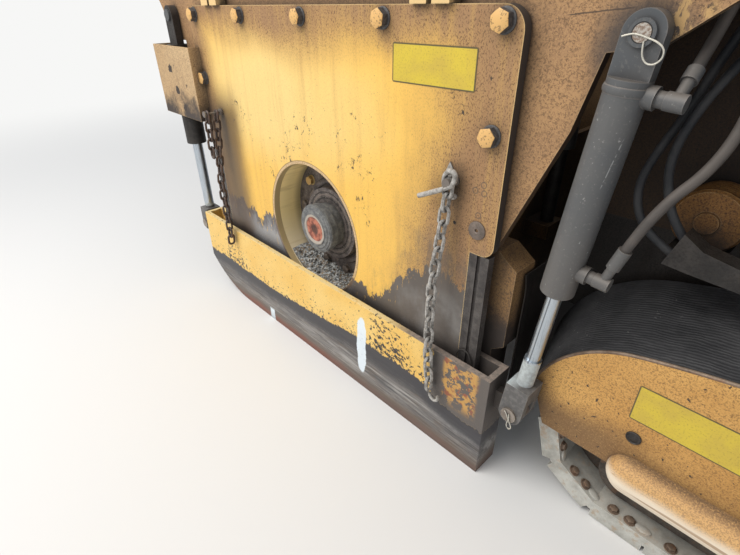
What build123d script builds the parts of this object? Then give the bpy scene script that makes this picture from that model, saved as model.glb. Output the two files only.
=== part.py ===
"""Cutter housing and rear crawler section of a cold planer, in millimetres.

X runs along the machine, with the crawlers at +X. Y runs across it, and Z is up from the ground.
Places along the machine are given from the drum's axis. Depths are measured inward from the outer
face of the cover plate on the left-hand side, which is the side at -Y. Every piece of a pair is
drawn on the left and mirrored.
"""
import math
import os

from build123d import *

os.makedirs("parts", exist_ok=True)

# Frame
half_width = 1220
front_reach = 1530
rear_reach = 2780
drum_x = (front_reach - rear_reach) / 2
frame_top = 2000
rail_bottom = 1620
web_thick = 30
cover_gap = 6
beam_length = 100
beam_wall = 12
deck_thick = 10
deck_hatch_length = 900
deck_hatch_width = 1500
fit = 0.3

# Cover plate
cover_thick = 30
cover_front = -836
cover_rear = 900
cover_top = 1495
cover_corner = 60
cover_lobe_bottom = 840
cover_lobe_corner = 40
cover_waist_front = -756
cover_waist_rear = 820
ski_clear = 20
web_low = 780
web_shoulder = 866
web_inset = 12
lug_length = 58
lug_height = 42
lug_depth = 46
lug_gap = 18
lug_places = (-598, 622)

# Hooks on the cover plates, and the chains that hang from them over the skis
hook_boss_radius = 15
hook_boss_height = 14
hook_pin_radius = 5
hook_head_radius = 14
hook_head = 6
hook_slack = 0.3
hook_room = 12
chain_wire = 10
link_width = 36
link_length = 36
link_end_width = 22
link_gap = 0.5
rear_chain = [(745, -30, 1055), (743, -50, 880), (741, -74, 712), (743, -76, 445), (752, -76, 300)]
front_chain = [
    (-672, -30, 1055), (-667, -43, 930), (-662, -58, 835),
    (-660, -74, 714), (-652, -76, 448), (-662, -76, 330),
]
chain_tail = [(-672, -76, 1055), (-682, -77, 930), (-690, -76, 835)]

# Drum
drum_z = 639
hole_radius = 292
sleeve_wall = 12
sleeve_depth = 120
flange_thick = 28
boss_radius = 165
boss_depth = 45
journal_radius = 100
hub_radius = 108.5
hub_face_depth = 22
hub_length = 38
shell_radius = 385
shell_wall = 25
shell_end_depth = 92
diaphragm_depth = 250
diaphragm_thick = 30
tip_radius = 530
holder_radius = 462
holder_length = 74
holder_width = 46
pick_radius = 19
pick_tip_radius = 4
pick_lean = 40
pick_sunk = 12
stations = 35
picks_a_station = 3
station_turn = 37

# Housing
hood_radius = 600
hood_thick = 12
hood_rear_angle = 25
throat_x = -700
throat_top = 1180
throat_bottom = 640
throat_half_width = 420
throat_wall_bottom = 470
corner_depth = 70
corner_thick = 110
corner_seat_place = (809, 810)
corner_seat_size = (34, 48)
corner_outline = [(790, 330), (905, 330), (905, 470), (948, 500), (948, 790), (880, 838), (790, 838)]

# Skis
ski_outer_depth = -50
ski_inner_depth = 62
ski_wall = 22
ski_floor = 30
ski_top = 445
ski_toe = -1000
ski_heel = 985
toe_height = 165
toe_run = 400
sleeve_notch = 330
ski_travel = 250
lug_pin_z = 345
lug_thick = 34
lug_radius = 38

# Guide bars
guide_width = 70
groove_width = 14
groove_depth = 8

# Rear lift cylinders
lift_depth = 15
lift_top_x = 1155
lift_top_z = 1444
lift_bottom_x = 1058
barrel_radius = 45.5
barrel_start = 84
barrel_end = 622
tang_width = 84
tang_thick = 36
rod_radius = 21
rod_inner_end = 400
collar_radius = 26
collar_start = 878
fork_start = 985
fork_base_end = 1050
fork_width = 88
fork_length_width = 78
fork_clear = 1
eye_play = 2.5
bore_spare = 20
pin_radius = 20
pin_head_radius = 26
pin_head = 8
port_root = 6
port_boss_radius = 24
port_boss_reach = 62
port_radius = 17
elbow_radius = 19
elbow_reach = 98
fitting_radius = 12
fitting_neck = 30
crimp_radius = 16.5
upper_port = 112
lower_port = 545
upper_fitting = 78
lower_fitting = 104

# Hoses
lift_hose_radius = 12
bay_hose_radius = 11
hose_share = 0.45
hose_socket = 14
hose_bracket_z = 1600
hose_bracket_thick = 12
hose_bracket_front = 1210
hose_bracket_rear = 1400
hose_bracket_depth = 260
upper_lead = 50
lower_lead = 62
upper_hose_route = [(1252, 130, 1463), (1259, 143, 1512), (1264, 147, 1556)]
lower_hose_route = [(1286, 42, 1132), (1322, 66, 1184), (1345, 92, 1250), (1352, 112, 1335),
                    (1350, 123, 1425), (1346, 129, 1510)]
front_bay_route = [(1294, 254, 1545), (1271, 254, 1468), (1238, 254, 1374), (1214, 254, 1272),
                   (1172, 253, 1164), (1154, 250, 1078), (1176, 240, 1002), (1231, 226, 954)]
rear_bay_route = [(1345, 224, 1540), (1322, 224, 1450), (1276, 224, 1366), (1244, 224, 1296),
                  (1221, 224, 1216), (1217, 223, 1146), (1235, 222, 1076), (1268, 220, 1013)]
front_bay_end = (1285, 220, 932)
rear_bay_end = (1299.6, 220, 980)

# Front lift cylinders
front_x = -1070
front_top_z = 1455
front_barrel_radius = 52
front_barrel_bottom = 830
front_barrel_top = 1325
front_rod_radius = 27
front_rod_top = 1010
front_fork_top = 440

# Guards over the front cylinders
guard_front = -1215
guard_rear = -800
guard_bottom = 990
guard_top = 1325
guard_face_depth = -54
guard_plate = 8

# Moldboard
mold_x = 632
mold_thick = 25
mold_half_width = 1125
mold_bottom = 25
mold_top = 1000
mold_cylinder_x = 722
mold_cylinder_y = 520
mold_barrel_radius = 50
mold_barrel_bottom = 1010
mold_barrel_top = 1500
mold_rod_radius = 28
mold_rod_top = 1210
mold_lug_top = 700
mold_lug_height = 60
mold_lug_width = 120
mold_lug_edge = 12

# Crawlers
crawler_x = 1880
wheel_span = 990
track_radius = 280
track_depth = 88
track_width = 300
shoe_thick = 30
shoe_gap = 8
shoe_count = 20
link_height = 36
link_overlap = 8
wheel_width = 80
wheel_slack = 2
roller_radius = 60
roller_count = 4
roller_pitch = 165
side_plate = 36
side_plate_gap = 104
side_plate_low = 90
side_plate_high = 430
side_plate_corner = 90
side_plate_over = 30
axle_edge = 20
block_length = 520
axle_radius = 40
yoke_thick = 40
yoke_clear = 8
yoke_length = 360
yoke_low = 180
yoke_foot_inset = 30
bridge_bottom = 880
bridge_thick = 60
leg_size = 250
leg_top = 1480
arm_depth = 190
arm_thick = 60
arm_top = [(1278, 909), (1306, 1001), (1356, 969), (1436, 953)]
arm_low = (1339, 903)
sleeve_bottom = 1200
sleeve_side = 30

# Fenders
fender_depth = 68
fender_thick = 12
fender_front = 1075
fender_nose_z = 440
fender_shoulder_x = 1323
fender_shoulder_z = 690
fender_nose_mid = (1163, 597)
fender_crest = 760
fender_low = 290
fender_low_x = 1131
rubber_thick = 14
rubber_rise = 90
rubber_apron = 110
tube_radius = 65
tube_z = 300
tube_front = 1345

# Chassis box between the crawlers
box_depth = 450
box_front = 950
box_rear = 2600
box_bottom = 900
box_plate = 12


def side_plane(depth):
    """Upright plane on the left side, at a depth inward, drawn as (X from the drum's axis, Z)."""
    return Plane(origin=(drum_x, depth - half_width, 0), x_dir=(1, 0, 0), z_dir=(0, -1, 0))


def placed(route):
    """Points of the model from (x, depth, z) points of a route on the left side."""
    return [Vector(drum_x + x, depth - half_width, z) for x, depth, z in route]


def write(piece, name):
    """Label one piece and write its file."""
    piece.part.label = name
    export_step(piece.part, f"parts/{name}.step")


def write_pair(left, name):
    """Write a left-hand piece and its mirror image for the right-hand side."""
    with BuildPart() as right:
        mirror(left.part, about=Plane.XZ)
    write(left, name + "_left")
    write(right, name + "_right")


# Side webs: the outline follows the visible lower edge, with the notch for the rear cylinder
web_depth = cover_thick + cover_gap
web_inner_depth = web_depth + web_thick
web_inner_y = half_width - web_inner_depth
web_outline = [
    (-front_reach, rail_bottom),
    (-1340, rail_bottom),
    (-1235, 1515),
    (-1160, 1400),
    (-1130, 1345),
    (-1005, 1345),
    (-1005, 1180),
    (-966, 1020),
    (cover_front + web_inset, web_shoulder),
    (cover_waist_front, web_low),
    (cover_waist_rear, web_low),
    (889, web_shoulder),
    (1036, 1229),
    (1078, 1402),
    (1183, 1418),
    (1284, 1496),
    (1440, rail_bottom),
    (rear_reach, rail_bottom),
    (rear_reach, frame_top),
    (-front_reach, frame_top),
]
with BuildPart() as side_web:
    with BuildSketch(side_plane(web_depth)):
        with BuildLine():
            Polyline(*web_outline, close=True)
        make_face()
        with Locations((0, drum_z)):
            Circle(hole_radius + sleeve_wall + fit, mode=Mode.SUBTRACT)
    extrude(amount=-web_thick)
    with BuildSketch(side_plane(web_inner_depth)):
        with Locations(((hose_bracket_front + hose_bracket_rear) / 2, hose_bracket_z)):
            Rectangle(hose_bracket_rear - hose_bracket_front, hose_bracket_thick,
                      align=(Align.CENTER, Align.MIN))
    extrude(amount=web_inner_depth - hose_bracket_depth)
write_pair(side_web, "side_web")

# Cover plates, with the two pairs of lugs on their top edge. Their lower ends and the guide bars stay
# clear of the ski's floor when the ski is up.


def clear_of_ski(along):
    """Lowest height for a piece inside the trough, whose floor rises in an arc at the toe."""
    run = toe_run - ski_wall
    arc_radius = (run ** 2 + toe_height ** 2) / (2 * toe_height)
    into_toe = max(0, ski_toe + toe_run - along)
    rise = arc_radius - math.sqrt(arc_radius ** 2 - into_toe ** 2)
    return ski_floor + rise + ski_travel + ski_clear


cover_bottom = clear_of_ski(cover_waist_front)
guide_bottom = clear_of_ski(cover_waist_front - guide_width)
with BuildPart() as cover_plate:
    with BuildSketch(side_plane(0)) as cover_outline:
        with BuildLine():
            Polyline(
                (cover_front, cover_top),
                (cover_rear, cover_top),
                (cover_rear, cover_lobe_bottom),
                (cover_waist_rear, cover_lobe_bottom),
                (cover_waist_rear, cover_bottom),
                (cover_waist_front, cover_bottom),
                (cover_waist_front, cover_lobe_bottom),
                (cover_front, cover_lobe_bottom),
                close=True,
            )
        make_face()
        fillet(cover_outline.vertices().group_by(Axis.Y)[-1], cover_corner)
        lobe_corners = cover_outline.vertices().filter_by_position(
            Axis.Y, cover_lobe_bottom - 1, cover_lobe_bottom + 1).sort_by(Axis.X)
        fillet([lobe_corners[0], lobe_corners[-1]], cover_lobe_corner)
        with Locations((0, drum_z)):
            Circle(hole_radius, mode=Mode.SUBTRACT)
    extrude(amount=-cover_thick)
    with BuildSketch(side_plane(cover_thick)):
        for lug_place in lug_places:
            for lug_side in (-1, 1):
                lug_x = lug_place + lug_side * (lug_length + lug_gap) / 2
                with Locations((lug_x, cover_top + lug_height / 2)):
                    Rectangle(lug_length, lug_height)
    extrude(amount=lug_depth)
    hook_height = rear_chain[0][2] - hook_pin_radius - hook_slack
    for hook_x, pin_end in ((rear_chain[0][0], rear_chain[0][1]), (front_chain[0][0], chain_tail[0][1])):
        for start_depth, end_depth, radius in (
            (0, -hook_boss_height, hook_boss_radius),
            (-hook_boss_height, pin_end - hook_room, hook_pin_radius),
            (pin_end - hook_room, pin_end - hook_room - hook_head, hook_head_radius),
        ):
            with BuildSketch(side_plane(start_depth)):
                with Locations((hook_x, hook_height)):
                    Circle(radius)
            extrude(amount=start_depth - end_depth)
write_pair(cover_plate, "cover_plate")

# Chains that hang from the hooks: links between joints a pitch apart, each turned a quarter
link_pitch = link_length - link_gap


def link_planes(route):
    """Planes of the links along a route of (x, depth, z) points, the first one facing the side."""
    line = Polyline(*placed(route))
    planes = []
    for link in range(int(line.length / link_pitch)):
        joint = line @ (link * link_pitch / line.length)
        next_joint = line @ ((link + 1) * link_pitch / line.length)
        way = (next_joint - joint).normalized()
        across = way.cross(Vector(0, 1, 0)).normalized()
        facing = across if link % 2 else across.cross(way)
        planes.append(Plane(origin=(joint + next_joint) / 2, x_dir=way, z_dir=facing))
    return planes


def link_corners(grow):
    """Six corners of a link's inner outline, or of its outer one when it grows by the wire."""
    half_length = link_length / 2 + grow
    half_width_middle = link_width / 2 - chain_wire + grow
    half_width_end = link_end_width / 2 - chain_wire / 2 + grow / 2
    return [
        (half_length, half_width_end), (0, half_width_middle), (-half_length, half_width_end),
        (-half_length, -half_width_end), (0, -half_width_middle), (half_length, -half_width_end),
    ]


with BuildPart() as chain_link:
    with BuildSketch():
        Polygon(*link_corners(chain_wire), align=None)
        Polygon(*link_corners(0), align=None, mode=Mode.SUBTRACT)
    extrude(amount=chain_wire / 2, both=True)
side_links = link_planes(rear_chain) + link_planes(front_chain) + link_planes(chain_tail)
with BuildPart() as side_chains:
    with Locations(*side_links):
        add(chain_link.part)
with BuildPart() as hook_chains:
    add(side_chains.part)
    mirror(about=Plane.XZ)
write(hook_chains, "hook_chains")

# Bearing sleeves behind the hole in each cover plate
sleeve_end_depth = cover_thick + sleeve_depth
with BuildPart() as drum_sleeve:
    with BuildSketch(side_plane(cover_thick)):
        with Locations((0, drum_z)):
            Circle(hole_radius + sleeve_wall)
            Circle(hole_radius, mode=Mode.SUBTRACT)
    extrude(amount=-sleeve_depth)
write_pair(drum_sleeve, "drum_sleeve")

with BuildPart() as bearing_flange:
    with BuildSketch(side_plane(sleeve_end_depth)):
        with Locations((0, drum_z)):
            Circle(hole_radius + sleeve_wall)
    extrude(amount=-flange_thick)
    with BuildSketch(side_plane(sleeve_end_depth - boss_depth)):
        with Locations((0, drum_z)):
            Circle(boss_radius)
    extrude(amount=-boss_depth)
    with BuildSketch(side_plane(sleeve_end_depth + flange_thick)):
        with Locations((0, drum_z)):
            Circle(journal_radius + fit)
    extrude(amount=flange_thick + boss_depth, mode=Mode.SUBTRACT)
write_pair(bearing_flange, "bearing_flange")

# Guide bars at both ends of the cover's lower part, which run down into the ski
with BuildPart() as guide_bars:
    for edge, way in ((cover_waist_front, -1), (cover_waist_rear, 1)):
        middle_x = edge + way * guide_width / 2
        middle_z = (cover_lobe_bottom + guide_bottom) / 2
        with BuildSketch(side_plane(cover_thick)):
            with Locations((middle_x, middle_z)):
                Rectangle(guide_width, cover_lobe_bottom - guide_bottom)
        extrude(amount=cover_thick)
        with BuildSketch(side_plane(0)):
            with Locations((middle_x, middle_z)):
                Rectangle(groove_width, cover_lobe_bottom - guide_bottom)
        extrude(amount=-groove_depth, mode=Mode.SUBTRACT)
write_pair(guide_bars, "guide_bars")

# Cross members, deck and the chassis box
for name, beam_middle in (
    ("front_cross_member", -front_reach + beam_length / 2),
    ("rear_cross_member", rear_reach - beam_length / 2),
    ("moldboard_beam", mold_cylinder_x),
):
    beam_low = mold_barrel_top if name == "moldboard_beam" else rail_bottom
    beam_high = rail_bottom if name == "moldboard_beam" else frame_top
    with BuildPart() as cross_member:
        with BuildSketch(Plane.XZ.offset(-web_inner_y)):
            with Locations((drum_x + beam_middle, (beam_low + beam_high) / 2)):
                Rectangle(beam_length, beam_high - beam_low)
                Rectangle(beam_length - 2 * beam_wall, beam_high - beam_low - 2 * beam_wall,
                          mode=Mode.SUBTRACT)
        extrude(amount=2 * web_inner_y)
    write(cross_member, name)

with BuildPart() as deck_plate:
    with BuildSketch(Plane.XY.offset(frame_top)):
        Rectangle(front_reach + rear_reach, 2 * (half_width - web_depth))
        Rectangle(deck_hatch_length, deck_hatch_width, mode=Mode.SUBTRACT)
    extrude(amount=deck_thick)
write(deck_plate, "deck_plate")

box_half_width = half_width - box_depth
with BuildPart() as chassis_box:
    with BuildSketch(Plane.XY.offset(box_bottom)):
        with Locations((drum_x + (box_front + box_rear) / 2, 0)):
            Rectangle(box_rear - box_front, 2 * box_half_width)
            Rectangle(box_rear - box_front - 2 * box_plate, 2 * (box_half_width - box_plate),
                      mode=Mode.SUBTRACT)
    extrude(amount=frame_top - box_bottom)
write(chassis_box, "chassis_box")

# Housing: the hood over the drum and the wall with the conveyor's throat
outer_hood = hood_radius + hood_thick
with BuildPart() as drum_hood:
    with BuildSketch(Plane(origin=(drum_x, web_inner_y, 0), x_dir=(1, 0, 0), z_dir=(0, -1, 0))):
        with BuildLine():
            inner_arc = CenterArc((0, drum_z), hood_radius, hood_rear_angle, 90 - hood_rear_angle)
            outer_arc = CenterArc((0, drum_z), outer_hood, hood_rear_angle, 90 - hood_rear_angle)
            Line(inner_arc @ 0, outer_arc @ 0)
            Polyline(outer_arc @ 1, (throat_x, throat_top + hood_thick), (throat_x, throat_top),
                     inner_arc @ 1)
        make_face()
    extrude(amount=2 * web_inner_y)
write(drum_hood, "drum_hood")

with BuildPart() as throat_wall:
    with BuildSketch(Plane.YZ.offset(drum_x + throat_x)):
        with Locations((0, (throat_wall_bottom + rail_bottom) / 2)):
            Rectangle(2 * web_inner_y, rail_bottom - throat_wall_bottom)
        with Locations((0, (throat_bottom + throat_top) / 2)):
            Rectangle(2 * throat_half_width, throat_top - throat_bottom, mode=Mode.SUBTRACT)
    extrude(amount=-hood_thick)
write(throat_wall, "throat_wall")

# Corners of the housing behind the guide bars
with BuildPart() as housing_corners:
    with BuildSketch(side_plane(corner_depth)):
        with BuildLine():
            Polyline(*corner_outline, close=True)
        make_face()
    extrude(amount=-corner_thick)
    with BuildSketch(side_plane(web_inner_depth)):
        with Locations(corner_seat_place):
            Rectangle(*corner_seat_size)
    extrude(amount=web_inner_depth - corner_depth)
    mirror(about=Plane.XZ)
write(housing_corners, "housing_corners")

# Drum: the shaft with its two hubs, and the shell on its diaphragms
drum_axis = Axis((drum_x, 0, drum_z), (0, 1, 0))
drum_section = Plane(origin=(drum_x, 0, drum_z), x_dir=(0, 1, 0), z_dir=(1, 0, 0))
with BuildPart() as drum_shaft:
    with BuildSketch(drum_section):
        for side in (-1, 1):
            with Locations((side * (half_width - hub_face_depth - hub_length / 2), 0)):
                Rectangle(hub_length, hub_radius, align=(Align.CENTER, Align.MIN))
        shaft_half = half_width - hub_face_depth - hub_length
        Rectangle(2 * shaft_half, journal_radius, align=(Align.CENTER, Align.MIN))
    revolve(axis=drum_axis)
write(drum_shaft, "drum_shaft")

with BuildPart() as drum_shell:
    with BuildSketch(drum_section):
        shell_half = half_width - shell_end_depth
        with Locations((0, shell_radius - shell_wall / 2)):
            Rectangle(2 * shell_half, shell_wall)
        for side in (-1, 1):
            with Locations((side * (half_width - diaphragm_depth - diaphragm_thick / 2), journal_radius)):
                Rectangle(diaphragm_thick, shell_radius - shell_wall / 2 - journal_radius,
                          align=(Align.CENTER, Align.MIN))
    revolve(axis=drum_axis)
write(drum_shell, "drum_shell")

# Cutting picks in their holders, in a chevron that carries to the middle
pick_places = []
station_half = half_width - shell_end_depth - holder_width
for station in range(stations):
    station_y = -station_half + 2 * station_half * station / (stations - 1)
    for pick in range(picks_a_station):
        turn = abs(station - (stations - 1) / 2) * station_turn + 360 * pick / picks_a_station
        pick_places.append((station_y, math.radians(turn)))

lean = math.radians(pick_lean)
pick_reach = (tip_radius - holder_radius + pick_sunk) / math.cos(lean) - pick_radius
holder_planes = []
pick_planes = []
for place_y, turn in pick_places:
    out = Vector(math.sin(turn), 0, math.cos(turn))
    ahead = Vector(math.cos(turn), 0, -math.sin(turn))
    base = Vector(drum_x, place_y, drum_z)
    holder_middle = (shell_radius + fit + holder_radius) / 2
    holder_planes.append(Plane(origin=base + out * holder_middle, x_dir=ahead, z_dir=out))
    point_way = out * math.cos(lean) + ahead * math.sin(lean)
    pick_start = base + out * (holder_radius - pick_sunk)
    pick_planes.append(Plane(origin=pick_start, x_dir=(0, 1, 0), z_dir=point_way))
with BuildPart() as drum_picks:
    with Locations(*holder_planes):
        Box(holder_length, holder_width, holder_radius - shell_radius - fit)
    with Locations(*pick_planes):
        Cone(pick_radius, pick_tip_radius, pick_reach, align=(Align.CENTER, Align.CENTER, Align.MIN))
write(drum_picks, "drum_picks")

# Skis: a trough open at the top, a toe that curves up, and a lug at each end


def ski_lines(end_wall, floor, top):
    """Side view of the ski, or of the trough inside its end walls and floor."""
    toe = ski_toe + end_wall
    heel = ski_heel - end_wall
    contact = ski_toe + toe_run
    Polyline((contact, floor), (heel, floor), (heel, top), (toe, top), (toe, toe_height + floor))
    TangentArc((contact, floor), (toe, toe_height + floor), tangent=(-1, 0))


with BuildPart() as ski:
    with BuildSketch(side_plane(ski_outer_depth)):
        with BuildLine():
            ski_lines(0, 0, ski_top)
        make_face()
    extrude(amount=ski_outer_depth - ski_inner_depth)
    with BuildSketch(side_plane(ski_outer_depth + ski_wall)):
        with BuildLine():
            ski_lines(ski_wall, ski_floor, ski_top + 1)
        make_face()
    extrude(amount=ski_outer_depth - ski_inner_depth + 2 * ski_wall, mode=Mode.SUBTRACT)
    with BuildSketch(side_plane(ski_inner_depth - ski_wall)):
        with Locations((0, (ski_floor + ski_top) / 2 + 1)):
            Rectangle(2 * sleeve_notch, ski_top - ski_floor + 2)
    extrude(amount=-ski_wall, mode=Mode.SUBTRACT)
    with BuildSketch(side_plane(lift_depth - lug_thick / 2)):
        for wall_x, pin_x in ((ski_heel, lift_bottom_x), (ski_toe, front_x)):
            with Locations(((wall_x + pin_x) / 2, lug_pin_z)):
                Rectangle(abs(pin_x - wall_x), 2 * lug_radius)
            with Locations((pin_x, lug_pin_z)):
                Circle(lug_radius)
        with Locations((lift_bottom_x, lug_pin_z), (front_x, lug_pin_z)):
            Circle(pin_radius + fit, mode=Mode.SUBTRACT)
    extrude(amount=-lug_thick)
write_pair(ski, "ski")

# Pins through the cylinders' eyes
lift_plane_x = drum_x + lift_top_x


fork_outer_depth = lift_depth - fork_width / 2 - fit
fork_inner_depth = lift_depth + fork_width / 2
tang_outer_depth = lift_depth - tang_thick / 2 - fit
for name, pin_places, inner_depth, outer_depth in (
    ("top_pins", [(lift_top_x, lift_top_z), (front_x, front_top_z)], web_depth, tang_outer_depth),
    ("ski_pins", [(lift_bottom_x, lug_pin_z), (front_x, lug_pin_z)], fork_inner_depth, fork_outer_depth),
):
    with BuildPart() as pins:
        with BuildSketch(side_plane(inner_depth)):
            with Locations(*pin_places):
                Circle(pin_radius)
        extrude(amount=inner_depth - outer_depth)
        with BuildSketch(side_plane(outer_depth)):
            with Locations(*pin_places):
                Circle(pin_head_radius)
        extrude(amount=pin_head)
    write_pair(pins, name)

# Rear lift cylinders, drawn along their own line from the top pin to the ski's pin
lift_run = lift_top_x - lift_bottom_x
lift_drop = lift_top_z - lug_pin_z
lift_length = math.hypot(lift_run, lift_drop)
lift_way = Vector(-lift_run / lift_length, 0, -lift_drop / lift_length)
lift_line = Plane(
    origin=(lift_plane_x, lift_depth - half_width, lift_top_z),
    x_dir=(0, -1, 0),
    z_dir=lift_way,
)
lift_side = Plane(origin=lift_line.origin, x_dir=lift_way, z_dir=(0, -1, 0))
port_way = Vector(lift_drop / lift_length, 0, -lift_run / lift_length)
upper_way = Vector(0.03, 0.70, 0.71).normalized()
lower_way = Vector(0.28, 0.03, 0.96).normalized()
with BuildPart() as lift_barrel:
    with BuildSketch(lift_line.offset(barrel_start)):
        Circle(barrel_radius)
    extrude(amount=barrel_end - barrel_start)
    with BuildSketch(lift_line.offset(rod_inner_end - ski_travel - bore_spare)):
        Circle(rod_radius + fit)
    extrude(amount=barrel_end - rod_inner_end + ski_travel + bore_spare, mode=Mode.SUBTRACT)
    with BuildSketch(lift_side):
        Circle(tang_width / 2)
        with Locations((barrel_start / 2, 0)):
            Rectangle(barrel_start, tang_width)
        Circle(pin_radius + fit, mode=Mode.SUBTRACT)
    extrude(amount=tang_thick / 2, both=True)
    for port, fitting_way, fitting_length in (
        (upper_port, upper_way, upper_fitting),
        (lower_port, lower_way, lower_fitting),
    ):
        port_origin = lift_line.origin + lift_way * port
        elbow = port_origin + port_way * elbow_reach
        for start, way, length, radius in (
            (port_origin + port_way * (rod_radius + port_root), port_way,
             port_boss_reach - rod_radius - port_root, port_boss_radius),
            (port_origin + port_way * port_boss_reach, port_way, elbow_reach - port_boss_reach, port_radius),
            (elbow - port_way * elbow_radius, port_way, 2 * elbow_radius, elbow_radius),
            (elbow, fitting_way, fitting_neck + elbow_radius, fitting_radius),
            (elbow + fitting_way * (fitting_neck + elbow_radius), fitting_way,
             fitting_length - fitting_neck - elbow_radius, crimp_radius),
        ):
            with BuildSketch(Plane(origin=start, z_dir=way)):
                Circle(radius)
            extrude(amount=length)
write_pair(lift_barrel, "lift_barrel")


def hose_line(points):
    """Centreline of a hose: straight runs joined by the largest arcs that both runs leave room for."""
    radii = []
    for before, corner, after in zip(points, points[1:], points[2:]):
        into, out = corner - before, after - corner
        half_turn = math.radians(into.get_angle(out) / 2)
        radii.append(hose_share * min(into.length, out.length) / math.tan(half_turn))
    print("hose radii", [round(radius) for radius in radii])
    return FilletPolyline(*points, radius=radii)


with BuildPart() as lift_hoses:
    for port, fitting_way, fitting_length, lead, route in (
        (upper_port, upper_way, upper_fitting, upper_lead, upper_hose_route),
        (lower_port, lower_way, lower_fitting, lower_lead, lower_hose_route),
    ):
        elbow = lift_line.origin + lift_way * port + port_way * elbow_reach
        hose_start = elbow + fitting_way * (fitting_length + fit)
        last_x, last_depth, _ = route[-1]
        with BuildLine() as hose_path:
            hose_line([
                hose_start,
                hose_start + fitting_way * lead,
                *placed([*route, (last_x, last_depth, hose_bracket_z - fit)]),
            ])
        with BuildSketch(Plane(origin=hose_start, z_dir=hose_path.line % 0)):
            Circle(lift_hose_radius)
        sweep(path=hose_path.line)
write_pair(lift_hoses, "lift_hoses")

# Hoses in the bay behind the cylinder, from the bracket down into the arm of the crawler's leg
with BuildPart() as bay_hoses:
    for route, mouth in ((front_bay_route, front_bay_end), (rear_bay_route, rear_bay_end)):
        first_x, first_depth, _ = route[0]
        points = placed([(first_x, first_depth, hose_bracket_z - fit), *route, mouth])
        last_way = (points[-1] - points[-2]).normalized()
        points[-1] += last_way * (hose_socket - fit)
        with BuildLine() as hose_path:
            hose_line(points)
        with BuildSketch(Plane(origin=points[0], z_dir=hose_path.line % 0)):
            Circle(bay_hose_radius)
        sweep(path=hose_path.line)
write_pair(bay_hoses, "bay_hoses")

with BuildPart() as lift_rod:
    with BuildSketch(lift_line.offset(rod_inner_end)):
        Circle(rod_radius)
    extrude(amount=collar_start - rod_inner_end)
    with BuildSketch(lift_line.offset(collar_start)):
        Circle(collar_radius)
    extrude(amount=fork_start - collar_start)
    with BuildSketch(lift_line.offset(fork_start)):
        Rectangle(fork_width, fork_length_width)
    extrude(amount=fork_base_end - fork_start)
    with BuildSketch(lift_side):
        with Locations(((fork_base_end - 1 + lift_length) / 2, 0)):
            Rectangle(lift_length - fork_base_end + 1, fork_length_width)
        with Locations((lift_length, 0)):
            Circle(fork_length_width / 2)
            Circle(pin_radius + eye_play, mode=Mode.SUBTRACT)
    extrude(amount=fork_width / 2, both=True)
    with BuildSketch(lift_side):
        with Locations(((fork_base_end + lift_length + fork_length_width) / 2, 0)):
            Rectangle(lift_length + fork_length_width - fork_base_end, 2 * fork_length_width)
    extrude(amount=lug_thick / 2 + fork_clear, both=True, mode=Mode.SUBTRACT)
write_pair(lift_rod, "lift_rod")

# Front lift cylinders, which stand upright
front_plane = Plane(origin=(drum_x + front_x, lift_depth - half_width, 0))
front_side = side_plane(lift_depth)
with BuildPart() as front_barrel:
    with BuildSketch(front_plane.offset(front_barrel_bottom)):
        Circle(front_barrel_radius)
    extrude(amount=front_barrel_top - front_barrel_bottom)
    with BuildSketch(front_plane.offset(front_barrel_bottom)):
        Circle(front_rod_radius + fit)
    extrude(amount=front_rod_top + ski_travel + bore_spare - front_barrel_bottom, mode=Mode.SUBTRACT)
    with BuildSketch(front_side):
        with Locations((front_x, front_top_z)):
            Circle(tang_width / 2)
        with Locations((front_x, (front_barrel_top + front_top_z) / 2)):
            Rectangle(tang_width, front_top_z - front_barrel_top)
        with Locations((front_x, front_top_z)):
            Circle(pin_radius + fit, mode=Mode.SUBTRACT)
    extrude(amount=tang_thick / 2, both=True)
write_pair(front_barrel, "front_barrel")

with BuildPart() as front_rod:
    with BuildSketch(front_plane.offset(front_fork_top)):
        Circle(front_rod_radius)
    extrude(amount=front_rod_top - front_fork_top)
    with BuildSketch(front_side):
        with Locations((front_x, (lug_pin_z + front_fork_top) / 2)):
            Rectangle(fork_length_width, front_fork_top - lug_pin_z)
        with Locations((front_x, lug_pin_z)):
            Circle(fork_length_width / 2)
            Circle(pin_radius + fit, mode=Mode.SUBTRACT)
    extrude(amount=fork_width / 2, both=True)
    with BuildSketch(front_side):
        with Locations((front_x, lug_pin_z - fork_length_width / 2 + lug_radius)):
            Rectangle(2 * fork_length_width, 2 * fork_length_width)
    extrude(amount=lug_thick / 2 + fork_clear, both=True, mode=Mode.SUBTRACT)
write_pair(front_rod, "front_rod")

# Guards over the front cylinders: a face plate with a flange at each end
with BuildPart() as cylinder_guard:
    with BuildSketch(side_plane(guard_face_depth)):
        with Locations(((guard_front + guard_rear) / 2, (guard_bottom + guard_top) / 2)):
            Rectangle(guard_rear - guard_front, guard_top - guard_bottom)
    extrude(amount=-guard_plate)
    for flange_x, flange_end in ((guard_front, web_depth), (guard_rear - guard_plate, 0)):
        with BuildSketch(side_plane(guard_face_depth)):
            with Locations((flange_x + guard_plate / 2, (guard_bottom + guard_top) / 2)):
                Rectangle(guard_plate, guard_top - guard_bottom)
        extrude(amount=guard_face_depth - flange_end)
write_pair(cylinder_guard, "cylinder_guard")

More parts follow.
